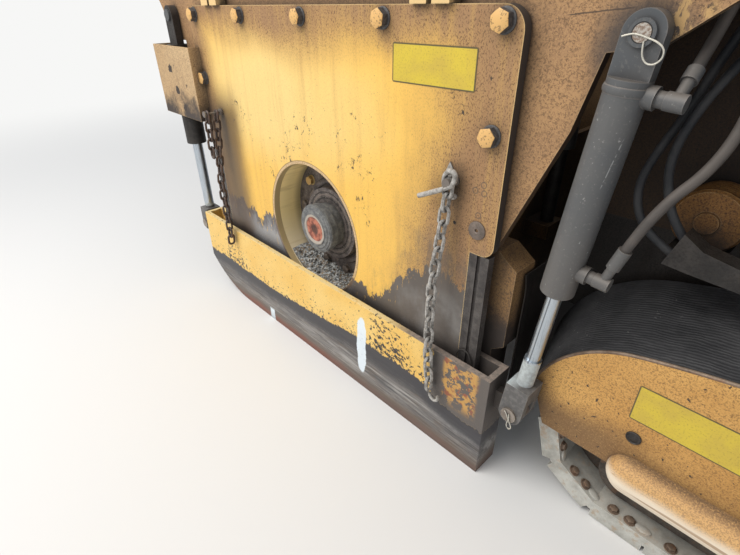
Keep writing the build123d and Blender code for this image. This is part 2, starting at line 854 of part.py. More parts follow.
# Moldboard behind the drum, with its two upright cylinders
with BuildPart() as moldboard:
    with BuildSketch(Plane.XZ.offset(-mold_half_width)):
        with Locations((drum_x + mold_x + mold_thick / 2, (mold_bottom + mold_top) / 2)):
            Rectangle(mold_thick, mold_top - mold_bottom)
    extrude(amount=2 * mold_half_width)
    lug_reach = mold_cylinder_x + mold_rod_radius + mold_lug_edge - mold_x
    for side in (-1, 1):
        with BuildSketch(Plane.XY.offset(mold_lug_top)):
            with Locations((drum_x + mold_x + lug_reach / 2, side * mold_cylinder_y)):
                Rectangle(lug_reach, mold_lug_width)
        extrude(amount=-mold_lug_height)
write(moldboard, "moldboard")

with BuildPart() as moldboard_rods:
    with BuildSketch(Plane.XY.offset(mold_lug_top)):
        with Locations(*[(drum_x + mold_cylinder_x, side * mold_cylinder_y) for side in (-1, 1)]):
            Circle(mold_rod_radius)
    extrude(amount=mold_rod_top - mold_lug_top)
write(moldboard_rods, "moldboard_rods")

with BuildPart() as moldboard_barrels:
    with BuildSketch(Plane.XY.offset(mold_barrel_bottom)):
        with Locations(*[(drum_x + mold_cylinder_x, side * mold_cylinder_y) for side in (-1, 1)]):
            Circle(mold_barrel_radius)
    extrude(amount=mold_barrel_top - mold_barrel_bottom)
    with BuildSketch(Plane.XY.offset(mold_barrel_bottom)):
        with Locations(*[(drum_x + mold_cylinder_x, side * mold_cylinder_y) for side in (-1, 1)]):
            Circle(mold_rod_radius + fit)
    extrude(amount=mold_rod_top + ski_travel + bore_spare - mold_barrel_bottom, mode=Mode.SUBTRACT)
write(moldboard_barrels, "moldboard_barrels")

# Crawler tracks: links from pin to pin along one loop, with a shoe on each
half_span = wheel_span / 2
pin_loop_radius = track_radius - shoe_thick - link_height / 2
bend = math.pi * pin_loop_radius
loop_length = 2 * wheel_span + 2 * bend
shoe_pitch = loop_length / shoe_count


def loop_point(along):
    """A point on the pins' loop, from the middle of the track, at a distance along it."""
    along = along % loop_length
    if along < wheel_span:
        return Vector(half_span - along, -pin_loop_radius)
    if along < wheel_span + bend:
        angle = (along - wheel_span) / pin_loop_radius
        return Vector(-half_span - pin_loop_radius * math.sin(angle), -pin_loop_radius * math.cos(angle))
    if along < 2 * wheel_span + bend:
        return Vector(-half_span + along - wheel_span - bend, pin_loop_radius)
    angle = (along - 2 * wheel_span - bend) / pin_loop_radius
    return Vector(half_span + pin_loop_radius * math.sin(angle), pin_loop_radius * math.cos(angle))


track_middle = Vector(crawler_x, track_radius)
with BuildPart() as crawler_track:
    with BuildSketch(side_plane(track_depth)):
        for shoe in range(shoe_count):
            start = track_middle + loop_point(shoe * shoe_pitch)
            end = track_middle + loop_point((shoe + 1) * shoe_pitch)
            heading = math.degrees(math.atan2(end.Y - start.Y, end.X - start.X))
            with Locations(Location((start + end) / 2, heading)):
                Rectangle(shoe_pitch + link_overlap, link_height)
                with Locations((0, (link_height + shoe_thick) / 2)):
                    Rectangle(shoe_pitch - shoe_gap, shoe_thick)
    extrude(amount=-track_width)
write_pair(crawler_track, "crawler_track")

# Crawler frames and wheels
track_middle_depth = track_depth + track_width / 2
plate_outer_depth = track_middle_depth - side_plate_gap / 2 - side_plate
plate_inner_depth = track_middle_depth + side_plate_gap / 2
axle_z = track_radius
link_inner = pin_loop_radius - link_height / 2
roller_z = track_radius - link_inner + roller_radius + fit
chord_radius = math.sqrt(pin_loop_radius ** 2 - (shoe_pitch / 2) ** 2)
wheel_radius = chord_radius - link_height / 2 - wheel_slack
with BuildPart() as crawler_frame:
    for depth in (plate_outer_depth, plate_inner_depth):
        with BuildSketch(side_plane(depth)):
            with Locations((crawler_x, (side_plate_low + side_plate_high) / 2)):
                RectangleRounded(
                    wheel_span + 2 * (axle_radius + side_plate_over),
                    side_plate_high - side_plate_low,
                    side_plate_corner,
                )
        extrude(amount=-side_plate)
    with BuildSketch(side_plane(plate_outer_depth)):
        with Locations((crawler_x, (axle_z + side_plate_high) / 2)):
            Rectangle(block_length, side_plate_high - axle_z)
    extrude(amount=-(side_plate_gap + 2 * side_plate))
write_pair(crawler_frame, "crawler_frame")

with BuildPart() as crawler_wheels:
    wheel_places = [(crawler_x + way * half_span, axle_z, wheel_radius) for way in (-1, 1)]
    for roller in range(roller_count):
        roller_x = crawler_x + (roller - (roller_count - 1) / 2) * roller_pitch
        wheel_places.append((roller_x, roller_z, roller_radius))
    for wheel_x, wheel_z, radius in wheel_places:
        with BuildSketch(side_plane(track_middle_depth - wheel_width / 2)):
            with Locations((wheel_x, wheel_z)):
                Circle(radius)
        extrude(amount=-wheel_width)
        with BuildSketch(side_plane(track_middle_depth - side_plate_gap / 2)):
            with Locations((wheel_x, wheel_z)):
                Circle(min(axle_radius, radius - axle_edge))
        extrude(amount=-side_plate_gap)
write_pair(crawler_wheels, "crawler_wheels")

# Crawler legs: a plate beside the track, a bridge over it, and the sliding column
yoke_depth = track_depth + track_width + yoke_clear
frame_inner_depth = plate_inner_depth + side_plate
leg_outer_depth = track_middle_depth - leg_size / 2
bridge_top = bridge_bottom + bridge_thick
with BuildPart() as crawler_leg:
    with BuildSketch(side_plane(yoke_depth)):
        with Locations((crawler_x, (yoke_low + bridge_top) / 2)):
            Rectangle(yoke_length, bridge_top - yoke_low)
    extrude(amount=-yoke_thick)
    with BuildSketch(side_plane(frame_inner_depth)):
        with Locations((crawler_x, (axle_z + side_plate_high) / 2)):
            Rectangle(yoke_length - 2 * yoke_foot_inset, side_plate_high - axle_z)
    extrude(amount=frame_inner_depth - yoke_depth)
    with BuildSketch(side_plane(leg_outer_depth)):
        with Locations((crawler_x, bridge_bottom + bridge_thick / 2)):
            Rectangle(yoke_length, bridge_thick)
    extrude(amount=leg_outer_depth - yoke_depth)
    with BuildSketch(side_plane(leg_outer_depth)):
        with Locations((crawler_x, (bridge_top + leg_top) / 2)):
            Rectangle(leg_size, leg_top - bridge_top)
    extrude(amount=-leg_size)
    with BuildSketch(side_plane(arm_depth)):
        with BuildLine():
            bridge_front = crawler_x - yoke_length / 2 + 1
            Polyline(*arm_top, (bridge_front, bridge_top), (bridge_front, bridge_bottom), arm_low, close=True)
        make_face()
    extrude(amount=-arm_thick)
    for route, mouth in ((front_bay_route, front_bay_end), (rear_bay_route, rear_bay_end)):
        before, end = placed([route[-1], mouth])
        with BuildSketch(Plane(origin=before, z_dir=end - before)):
            Circle(bay_hose_radius + fit)
        extrude(amount=(end - before).length + hose_socket, mode=Mode.SUBTRACT)
write_pair(crawler_leg, "crawler_leg")

with BuildPart() as leg_sleeve:
    with BuildSketch(side_plane(web_inner_depth)):
        with Locations((crawler_x, (sleeve_bottom + frame_top) / 2)):
            Rectangle(leg_size + 2 * sleeve_side, frame_top - sleeve_bottom)
    extrude(amount=web_inner_depth - box_depth)
    with BuildSketch(Plane.XY.offset(sleeve_bottom)):
        with Locations((drum_x + crawler_x, track_middle_depth - half_width)):
            Rectangle(leg_size + 2 * fit, leg_size + 2 * fit)
    extrude(amount=frame_top - sleeve_bottom, mode=Mode.SUBTRACT)
write_pair(leg_sleeve, "leg_sleeve")

# Fenders: the side plate with its guard tube, and the rubber top
fender_rear = 2 * crawler_x - fender_front
shoulder_rear = 2 * crawler_x - fender_shoulder_x
nose_mid_rear = (2 * crawler_x - fender_nose_mid[0], fender_nose_mid[1])


def fender_top_line(drop):
    """Top edge of the fender from nose to tail, lowered by the rubber's thickness or by nothing."""
    shift = drop / math.sqrt(2)
    nose = ThreePointArc(
        (fender_front + drop, fender_nose_z),
        (fender_nose_mid[0] + shift, fender_nose_mid[1] - shift),
        (fender_shoulder_x, fender_shoulder_z - drop),
    )
    crown = ThreePointArc(
        nose @ 1,
        (crawler_x, fender_crest - drop),
        (shoulder_rear, fender_shoulder_z - drop),
    )
    ThreePointArc(
        crown @ 1,
        (nose_mid_rear[0] - shift, nose_mid_rear[1] - shift),
        (fender_rear - drop, fender_nose_z),
    )


with BuildPart() as crawler_fender:
    with BuildSketch(side_plane(fender_depth)):
        with BuildLine():
            fender_top_line(0)
            Polyline(
                (fender_rear, fender_nose_z),
                (2 * crawler_x - fender_low_x, fender_low),
                (fender_low_x, fender_low),
                (fender_front, fender_nose_z),
            )
        make_face()
    extrude(amount=-fender_thick)
    tube_depth = fender_depth + fender_thick / 2
    tube_length = 2 * (crawler_x - tube_front - tube_radius)
    tube_start = Plane(
        origin=(drum_x + tube_front + tube_radius, tube_depth - half_width, tube_z),
        x_dir=(0, 1, 0),
        z_dir=(1, 0, 0),
    )
    with BuildSketch(tube_start):
        Circle(tube_radius)
    extrude(amount=tube_length)
    with Locations(tube_start.origin, tube_start.origin + Vector(tube_length, 0, 0)):
        Sphere(tube_radius)
write_pair(crawler_fender, "crawler_fender")

apron_z = fender_nose_z - rubber_apron
with BuildPart() as fender_rubber:
    for depth, rise in ((fender_depth + fender_thick, 0), (yoke_depth, rubber_rise)):
        with BuildSketch(side_plane(depth)):
            with BuildLine():
                for drop in (-rise, rubber_thick - rise):
                    fender_top_line(drop)
                    Line((fender_front + drop, fender_nose_z), (fender_front + drop, apron_z))
                    Line((fender_rear - drop, fender_nose_z), (fender_rear - drop, apron_z))
                for end, way in ((fender_front, 1), (fender_rear, -1)):
                    Line((end - way * rise, apron_z), (end + way * (rubber_thick - rise), apron_z))
            make_face()
    loft(ruled=True)
write_pair(fender_rubber, "fender_rubber")
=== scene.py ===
# %% [markdown]
# This lesson dresses a section of a cold planer, the machine that mills off an old road surface. The
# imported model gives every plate, pin and cylinder at its real place, in metres. Here each of them gets
# its paint, dust and scrapes, and the small things that a plate model leaves out, such as bolts, chain
# links, hoses and weld beads.

# %% Load the model
import math

import bmesh
import bpy
import numpy as np
from mathutils import Matrix, Vector


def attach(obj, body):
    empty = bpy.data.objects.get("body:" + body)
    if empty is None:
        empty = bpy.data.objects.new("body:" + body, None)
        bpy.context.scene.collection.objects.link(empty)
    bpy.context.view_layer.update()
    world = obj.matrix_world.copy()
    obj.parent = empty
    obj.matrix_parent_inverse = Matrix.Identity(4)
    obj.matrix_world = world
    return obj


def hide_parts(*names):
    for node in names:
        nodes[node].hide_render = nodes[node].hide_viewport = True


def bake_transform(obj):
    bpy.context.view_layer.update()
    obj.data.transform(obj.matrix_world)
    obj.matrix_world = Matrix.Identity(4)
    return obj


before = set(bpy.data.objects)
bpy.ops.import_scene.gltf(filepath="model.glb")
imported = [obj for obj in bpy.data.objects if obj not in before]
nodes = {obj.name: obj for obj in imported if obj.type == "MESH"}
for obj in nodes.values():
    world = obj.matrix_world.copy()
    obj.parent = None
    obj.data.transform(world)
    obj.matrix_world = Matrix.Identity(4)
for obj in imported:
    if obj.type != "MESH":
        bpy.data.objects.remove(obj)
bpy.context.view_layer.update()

# %% [markdown]
# Everything is placed from a few sizes of the machine: where the drum's axis is, and how far out the cover
# plate's face stands. A place on the left side is given by its distance along the machine from the drum's
# axis, its depth inward from that face, and its height.

# %% Places on the machine
DRUM_X, DRUM_Z, HALF_WIDTH, CRAWLER_ALONG = -0.625, 0.639, 1.220, 1.880
SIDES = ((-1, "left"), (1, "right"))


def place(along, depth, height, side=-1):
    """A point on one side of the machine: x = DRUM_X + along, y = side * (HALF_WIDTH - depth)."""
    return Vector((DRUM_X + along, side * (HALF_WIDTH - depth), height))


def on_side(points, side):
    """The same for an array of (along, depth, height) points."""
    along, depth, height = np.moveaxis(np.asarray(points, float), -1, 0)
    return np.stack([DRUM_X + along, side * (HALF_WIDTH - depth), height], axis=-1)


# %% [markdown]
# A mesh here is a grid of points worked out in one go with numpy: rows run along a piece and columns go
# round it. One helper turns such a grid into faces, another repeats a small mesh at many places, which is
# how all the bolts and links are made.

# %% Mesh helpers
def link_object(name, data):
    """Put a finished mesh, lamp or camera into the scene as one object at the origin."""
    obj = bpy.data.objects.new(name, data)
    bpy.context.scene.collection.objects.link(obj)
    return obj


def mesh_from(name, points, faces, sharp_angle=35.0):
    """A mesh from an array of points and lists of faces, smooth but for the edges over sharp_angle."""
    mesh = bpy.data.meshes.new(name)
    corners = np.asarray(points, float).reshape(-1, 3).tolist()
    mesh.from_pydata(corners, [], [list(map(int, face)) for face in faces])
    work = bmesh.new()
    work.from_mesh(mesh)
    bmesh.ops.remove_doubles(work, verts=work.verts, dist=1e-6)
    bmesh.ops.recalc_face_normals(work, faces=work.faces)
    for edge in work.edges:
        edge.smooth = len(edge.link_faces) == 2 and edge.calc_face_angle(0.0) < math.radians(sharp_angle)
    for face in work.faces:
        face.smooth = True
    work.to_mesh(mesh)
    work.free()
    mesh.update()
    return mesh


def wear(obj, material):
    """Give an object one finish all over."""
    obj.data.materials.clear()
    obj.data.materials.append(material)


def add_piece(name, shape, material, body, sharp_angle=35.0):
    """One object from points and faces, finished and riding on a body."""
    piece = link_object(name, mesh_from(name, *shape, sharp_angle=sharp_angle))
    wear(piece, material)
    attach(piece, body)
    return piece


def add_pair(name, make, material, body, sharp_angle=35.0):
    """The same piece on both sides: make(side) gives its shape, and {} in body is the side's word."""
    return [add_piece(f"{name}_{word}", make(side), material, body.format(word), sharp_angle)
            for side, word in SIDES]


def grid_faces(rows, columns, wrap_rows=False, wrap_columns=False):
    """Four-cornered faces between neighbouring points of a grid, numbered row by row."""
    row = np.arange(rows if wrap_rows else rows - 1)
    column = np.arange(columns if wrap_columns else columns - 1)
    r, c = [a.ravel() for a in np.meshgrid(row, column, indexing="ij")]
    r2, c2 = (r + 1) % rows, (c + 1) % columns
    return np.stack([r * columns + c, r * columns + c2, r2 * columns + c2, r2 * columns + c], axis=1).tolist()


def closed_sheet(upper, lower):
    """A closed shape from two grids of points with as many rows and columns, joined all round their rim."""
    rows, columns = upper.shape[:2]
    count = rows * columns
    faces = grid_faces(rows, columns)
    faces += [[i + count for i in face][::-1] for face in faces]
    number = np.arange(count).reshape(rows, columns)
    rim = np.concatenate([number[:, 0], number[-1, 1:], number[-2::-1, -1], number[0, -2:0:-1]])
    after = np.roll(rim, -1)
    faces += np.stack([rim, after, after + count, rim + count], axis=1).tolist()
    return np.concatenate([upper.reshape(-1, 3), lower.reshape(-1, 3)]), faces


def prism(outline):
    """A closed shape from two outlines with as many points, one after the other in an array."""
    n = len(outline) // 2
    sides = [[i, (i + 1) % n, (i + 1) % n + n, i + n] for i in range(n)]
    return outline, [list(range(n)), list(range(n, 2 * n))[::-1]] + sides


def full_turn(count):
    """Angles once round, evenly spaced."""
    return np.linspace(0, 2 * math.pi, count, endpoint=False)


def lathe(profile, segments=32):
    """Points (r cos a, r sin a, h) for a profile of (r, h) pairs. A disc closes an end that is off the axis,
    unless the profile ends where it starts, as a ring's does."""
    profile, angle = np.asarray(profile, float), full_turn(segments)
    r, h = profile[:, :1], profile[:, 1:]
    points = np.stack([r * np.cos(angle), r * np.sin(angle), h + 0 * angle], axis=2).reshape(-1, 3)
    faces = grid_faces(len(profile), segments, wrap_columns=True)
    for end in (0, len(profile) - 1):
        if profile[end, 0] > 1e-6 and not np.allclose(profile[0], profile[-1]):
            faces.append(list(range(end * segments, (end + 1) * segments)))
    return points, faces


def hexagon(apothem, height, slope=0.62):
    """A bolt head: r = apothem / cos(a) in each sixth of the turn, and a cone cuts its corners."""
    angle = full_turn(36)
    sixth = (angle + math.pi / 6) % (math.pi / 3) - math.pi / 6
    flat = apothem / np.cos(sixth)
    face = 0.93 * apothem
    rings = [(0, 0), (flat, 0), (flat, height - slope * (flat - face)), (face, height), (0, height)]
    points = [np.stack([r * np.cos(angle), r * np.sin(angle), 0 * angle + h], axis=1) for r, h in rings]
    return np.concatenate(points), grid_faces(len(rings), 36, wrap_columns=True)


def aim(points, centre, out, up=(0, 0, 1)):
    """Turn points so that their z runs along out, and move them to centre."""
    z = Vector(out).normalized()
    x = Vector(up).cross(z)
    x = x.normalized() if x.length > 1e-6 else Vector((1, 0, 0))
    return np.asarray(points, float) @ np.array([x, z.cross(x), z]) + np.array(centre, float)


def facing_out(shape, spot, side):
    """A shape with its axis pointing outward from one side, at an (along, depth, height) spot."""
    return aim(shape[0], place(*spot, side=side), (0, side, 0)), shape[1]


def gather(parts):
    """Join (points, faces) pairs into one pair."""
    points, faces, start = [], [], 0
    for part_points, part_faces in parts:
        points.append(np.asarray(part_points, float))
        faces += [[i + start for i in face] for face in part_faces]
        start += len(part_points)
    return np.concatenate(points), faces


# %% [markdown]
# Materials are built from a handful of small steps, so two short classes keep them readable. Patterns are
# laid out in Object coordinates: because every piece sits at the origin, those are real metres on the
# machine, and a stain can be put exactly where it is.

# %% Material helper
class Field:
    """A number worked out over the surface: + - * and abs() add shader nodes, and | keeps the larger."""

    def __init__(self, tree, socket):
        self.tree, self.socket = tree, socket

    def __add__(self, other):
        return self.tree.sum("ADD", self, other)

    def __sub__(self, other):
        return self.tree.sum("SUBTRACT", self, other)

    def __rsub__(self, other):
        return self.tree.sum("SUBTRACT", other, self)

    def __mul__(self, other):
        return self.tree.sum("MULTIPLY", self, other)

    def __or__(self, other):
        return self.tree.sum("MAXIMUM", self, other)

    def __abs__(self):
        return self.tree.sum("ABSOLUTE", self)

    def step(self, low, high, start=0.0, end=1.0):
        """Smooth step: start up to low, end from high on. Where low is over high, it runs the other way."""
        ends = {"Value": self, "From Min": low, "From Max": high, "To Min": start, "To Max": end}
        return self.tree.node("ShaderNodeMapRange", "Result", ends, interpolation_type="SMOOTHSTEP")

    def mix(self, a, b):
        """Colour a where this field is 0 and b where it is 1."""
        return self.tree.node("ShaderNodeMix", "Result", {"Factor": self, "A": a, "B": b}, data_type="RGBA")

    def around(self, amount):
        """A noise value turned into a shift from -amount/2 to amount/2."""
        return (self - 0.5) * amount


class Shading:
    """A shader node tree that is filled node by node."""

    def __init__(self, tree):
        self.tree = tree

    def node(self, kind, output=0, inputs=None, **settings):
        """Add a node with settings, feed its inputs by name or number, and return one output as a Field."""
        node = self.tree.nodes.new(kind)
        for key, value in settings.items():
            setattr(node, key, value)
        for key, value in (inputs or {}).items():
            self.feed(node.inputs[key], value)
        return Field(self, node.outputs[output])

    def feed(self, socket, value):
        if isinstance(value, Field):
            self.tree.links.new(value.socket, socket)
        else:
            socket.default_value = (*value, 1.0) if socket.type == "RGBA" else value

    def sum(self, operation, a, b=0.0):
        return self.node("ShaderNodeMath", 0, {0: a, 1: b}, operation=operation)


class Finish(Shading):
    """One surface finish: colour is laid on in layers, bumps add up, and done() returns the material."""

    def __init__(self, name):
        self.material = bpy.data.materials.new(name)
        self.material.use_nodes = True
        super().__init__(self.material.node_tree)
        self.shader = self.tree.nodes["Principled BSDF"]
        self.where = self.node("ShaderNodeTexCoord", "Object")
        self.colour = self.normal = None

    def stretched(self, stretch=(1, 1, 1), shift=(0, 0, 0)):
        return self.node("ShaderNodeMapping", 0, {"Vector": self.where, "Scale": stretch, "Location": shift})

    def noise(self, scale, detail=4, rough=0.55, stretch=(1, 1, 1), shift=(0, 0, 0), twist=0.0):
        """Fractal noise from about 0.3 to 0.7, in patches of 1 / scale metres, or longer by 1 / stretch."""
        settings = {"Scale": scale, "Detail": detail, "Roughness": rough, "Distortion": twist}
        return self.node("ShaderNodeTexNoise", "Fac", {"Vector": self.stretched(stretch, shift), **settings})

    def axes(self, vector):
        """The x, y and z of a vector."""
        split = self.node("ShaderNodeSeparateXYZ", 0, {0: vector}).socket.node
        return [Field(self, socket) for socket in split.outputs]

    def places(self):
        """Distance along from the drum's axis, depth in from the cover's face on either side, and height."""
        x, y, z = self.axes(self.where)
        return x - DRUM_X, HALF_WIDTH - abs(y), z

    def distance(self, point, squeeze=(1, 1, 1)):
        """Distance from a point, with each axis weighed by squeeze."""
        off = self.node("ShaderNodeVectorMath", 0, {0: self.where, 1: point}, operation="SUBTRACT")
        weighed = self.node("ShaderNodeVectorMath", 0, {0: off, 1: squeeze}, operation="MULTIPLY")
        return self.node("ShaderNodeVectorMath", "Value", {0: weighed}, operation="LENGTH")

    def from_spot(self, along, height):
        """Distance from a spot in side view, the same on both sides of the machine."""
        return self.distance(place(along, 0, height), (1, 0, 1))

    def near(self, along, height, radius):
        return self.from_spot(along, height).step(radius, 0.4 * radius)

    def facing(self):
        """The x, y and z of the way the surface faces."""
        return self.axes(self.node("ShaderNodeNewGeometry", "Normal"))

    def edge_on(self):
        """1 on faces that look along or up the machine, and 0 on those that look sideways."""
        return abs(self.facing()[1]).step(0.6, 0.4)

    def edges(self, radius=0.004):
        """1 on sharp outer edges and 0 on flats: how far the rounded normal leans from the true one."""
        rounded = self.node("ShaderNodeBevel", 0, {"Radius": radius}, samples=4)
        true = self.node("ShaderNodeNewGeometry", "Normal")
        lean = self.node("ShaderNodeVectorMath", "Value", {0: rounded, 1: true}, operation="DOT_PRODUCT")
        return lean.step(0.995, 0.93)

    def corners(self, distance=0.08):
        """1 in corners and under ledges, where painted shade goes, and 0 in the open: an ambient occlusion
        mask.
        """
        open_sky = self.node("ShaderNodeAmbientOcclusion", "AO", {"Distance": distance}, samples=4)
        return open_sky.step(0.95, 0.45)

    def over(self, mask, colour):
        """Lay a colour over what is there, as thick as the mask says."""
        self.colour = mask.mix(self.colour, colour)

    def bump(self, height, depth, strength=1.0):
        """Raise the surface by depth metres where the height field is 1, on top of earlier bumps."""
        inputs = {"Height": height, "Distance": depth, "Strength": strength}
        if self.normal:
            inputs["Normal"] = self.normal
        self.normal = self.node("ShaderNodeBump", 0, inputs)

    def done(self, roughness, metallic=0.0, specular=0.5):
        values = {"Base Color": self.colour, "Roughness": roughness, "Metallic": metallic,
                  "Specular IOR Level": specular}
        if self.normal:
            values["Normal"] = self.normal
        for key, value in values.items():
            self.feed(self.shader.inputs[key], value)
        return self.material


# %% [markdown]
# The big cover plate is the face of the machine. Its middle is painted cream as a pool of light, a brown film
# of dust lies on its top and its right end in fine upright streaks, and the ski has rubbed the lowest part
# down to dark steel with a ragged edge. Each of these is a mask made from distances along and up the plate,
# roughened by noise, so it sits at its real place and still looks grown.

# %% Cover paint
LIGHT_POOL_CREAM, LIT_YELLOW, TAN = (0.88, 0.63, 0.235), (0.89, 0.535, 0.105), (0.345, 0.200, 0.100)
# PAINTED_SHADE_DARK is the colour of painted shade, laid into corners and under ledges.
PAINTED_SHADE_DARK, DEEP_BROWN = (0.035, 0.029, 0.026), (0.15, 0.080, 0.038)
WORN_DARK, WORN_GREY = (0.090, 0.078, 0.078), (0.36, 0.355, 0.35)
CHIPPED_PATCHES = ((-0.50, 1.06, 0.16), (-0.02, 1.07, 0.15), (0.31, 1.05, 0.20), (-0.16, 0.96, 0.16),
                   (0.34, 0.87, 0.12), (-0.29, 0.85, 0.16), (0.76, 1.29, 0.10))
RING_MARKS = ((0.842, 1.058), (0.816, 1.037), (0.846, 1.034), (0.835, 0.965))


def cover_chips(finish):
    """Fine chips anywhere, and ragged ones up to 15 mm wide within the (along, height, radius) patches."""
    chips = finish.noise(150, 3, 0.65).step(0.675, 0.695)
    chips *= finish.noise(3.1, 2, shift=(3, 1, 7)).step(0.42, 0.58, 0.3, 1.0)
    ragged = finish.noise(34, 8, 0.82, (1, 1, 0.8), twist=0.3)
    for patch in CHIPPED_PATCHES:
        near = finish.near(*patch)
        chips |= (ragged + near * 0.045).step(0.633, 0.648) * near.step(0.05, 0.15)
    return chips


def cover_finish():
    finish = Finish("bleached cover paint")
    along, depth, height = finish.places()
    cloud = finish.noise(1.9, 3)
    brushed = finish.noise(30, 6, 0.7, (1, 1, 0.05))
    speck = finish.noise(260, 4, 0.75, (1, 1, 0.6))
    # Painted light: the middle of the plate is painted cream as a pool of light.
    middle = finish.distance(place(-0.24, 0, 1.15), (0.75, 0, 1.7)) + cloud.around(0.5)
    finish.colour = middle.step(0.62, 0.12).mix(LIT_YELLOW, LIGHT_POOL_CREAM)
    film = (height + cloud.around(0.35)).step(1.24, 1.48) | (along + cloud.around(0.7)).step(0.36, 0.84)
    film = (film | along.step(-0.60, -0.82)) * brushed.step(0.25, 0.6, 0.72, 1.0)
    finish.over(film, TAN)
    finish.over(brushed.step(0.45, 0.8, 0.0, 0.35), (0.44, 0.23, 0.075))
    finish.over(speck.step(0.52, 0.60) * film.step(0.1, 0.9, 0.16, 0.95), DEEP_BROWN)
    tar = finish.noise(115, 4, 0.7).step(0.66, 0.69) * cloud.step(0.40, 0.62, 0.25, 1.0)
    finish.over(tar * 0.8, (0.12, 0.070, 0.040))
    chips = cover_chips(finish)
    finish.over(chips, (0.060, 0.044, 0.032))
    ragged = finish.noise(8, 7, 0.72, (1, 1, 0.5)).around(0.34)
    ragged += finish.noise(70, 3, stretch=(1, 1, 0.12)).around(0.06)
    worn_height = along.step(-0.10, 0.20, 0.60, 0.50) + along.step(0.42, 0.60, 0.0, 0.20)
    under = worn_height + ragged - height
    flecks = finish.noise(26, 5, 0.7, (1.8, 1.8, 0.45)).step(0.60, 0.62) * under.step(0.16, 0.02)
    worn = under.step(-0.004, 0.004) * flecks.step(1.0, 0.0)
    metal = finish.noise(5, 5).step(0.40, 0.62).mix(WORN_DARK, WORN_GREY)
    metal = along.step(0.0, -0.25, 0.0, 0.7).mix(metal, (0.37, 0.37, 0.375))
    metal = under.step(0.09, 0.01, 0.0, 0.85).mix(metal, WORN_DARK)
    metal = along.step(0.1, 0.5, 0.0, 0.6).mix(metal, (0.135, 0.115, 0.092))
    finish.over(worn, metal)
    smudge = under.step(-0.17, -0.01) * ragged.step(-0.03, 0.06) * along.step(0.3, 0.5)
    finish.over(smudge * 0.75, (0.13, 0.105, 0.085))
    waist = (along + ragged.around(0.25)).step(-0.57, -0.72) * height.step(1.22, 1.02) * 0.85
    finish.over(waist, (0.105, 0.068, 0.044))
    lugs = height.step(1.494, 1.498) * 0.9
    finish.over(lugs, (0.80, 0.56, 0.26))
    for mark in RING_MARKS:
        ring = abs(finish.from_spot(*mark) - 0.0085).step(0.0024, 0.0010, 0.0, 0.7)
        finish.over(ring, (0.11, 0.085, 0.065))
    finish.over(finish.from_spot(0.754, 0.918).step(0.0065, 0.005), (0.01, 0.01, 0.01))
    finish.over(finish.edges(0.005) * chips.step(1.0, 0.0) * 0.8, (0.78, 0.56, 0.26))
    from_axis = finish.from_spot(0, DRUM_Z)
    finish.over(from_axis.step(0.3075, 0.3055) * 0.7, (0.16, 0.10, 0.060))
    lip = from_axis.step(0.3035, 0.3020) * worn.step(1.0, 0.4) * speck.step(0.6, 0.5)
    finish.over(lip, (0.62, 0.44, 0.25))
    in_hole = from_axis.step(0.300, 0.296)
    finish.over(finish.edge_on() * lugs.step(0.9, 0.5), (0.060, 0.050, 0.044))
    finish.over(finish.edge_on() * in_hole, (0.46, 0.34, 0.17))
    # Painted shade: the corners inside the hole are darkened.
    finish.over(finish.corners(0.07) * in_hole.step(0.0, 1.0, 0.85, 0.3), PAINTED_SHADE_DARK)
    finish.over(depth.step(-0.002, -0.006) * height.step(1.49, 1.48), (0.17, 0.145, 0.125))
    finish.bump(chips | worn, -0.0006, 0.6)
    finish.bump(finish.noise(420, 3), 0.0004, 0.3)
    finish.bump(finish.noise(5, 3), 0.006, 0.18)
    return finish.done(film.step(0.0, 1.0, 0.42, 0.62), specular=0.35)


cover_paint = cover_finish()

# %% [markdown]
# The frame plates carry a thicker coat of brown dust than the cover, grainy like fine sand. The same
# function paints the guards, the cross members and the shaded box with other colours, and can darken a
# plate toward its lower edge. It also paints shade: dark into corners, and near black deeper in on the box.

# %% Frame paint
def web_marks(finish, along, height, spots, edge):
    """A dark halo round the rear cylinder's eye, a weld seam above it, a scuffed corner behind it and dark
    edges.
    """
    halo = finish.from_spot(1.140, 1.420) + spots.around(0.04)
    finish.over(halo.step(0.125, 0.050, 0.0, 0.85), (0.072, 0.062, 0.056))
    seam = abs(height - along * 0.10 - 1.374 + spots.around(0.006)).step(0.0022, 0.0008)
    finish.over(seam * along.step(0.975, 0.985) * along.step(1.125, 1.10) * 0.85, (0.060, 0.042, 0.032))
    scuff = finish.near(1.215, 1.465, 0.060) * finish.noise(40, 6, 0.75, (1, 1, 0.3)).step(0.48, 0.54)
    finish.over(scuff, (0.54, 0.34, 0.14))
    finish.over(finish.near(1.215, 1.47, 0.06) * spots.step(0.56, 0.585), (0.060, 0.042, 0.032))
    finish.over(finish.edge_on() * edge, (0.050, 0.036, 0.028))


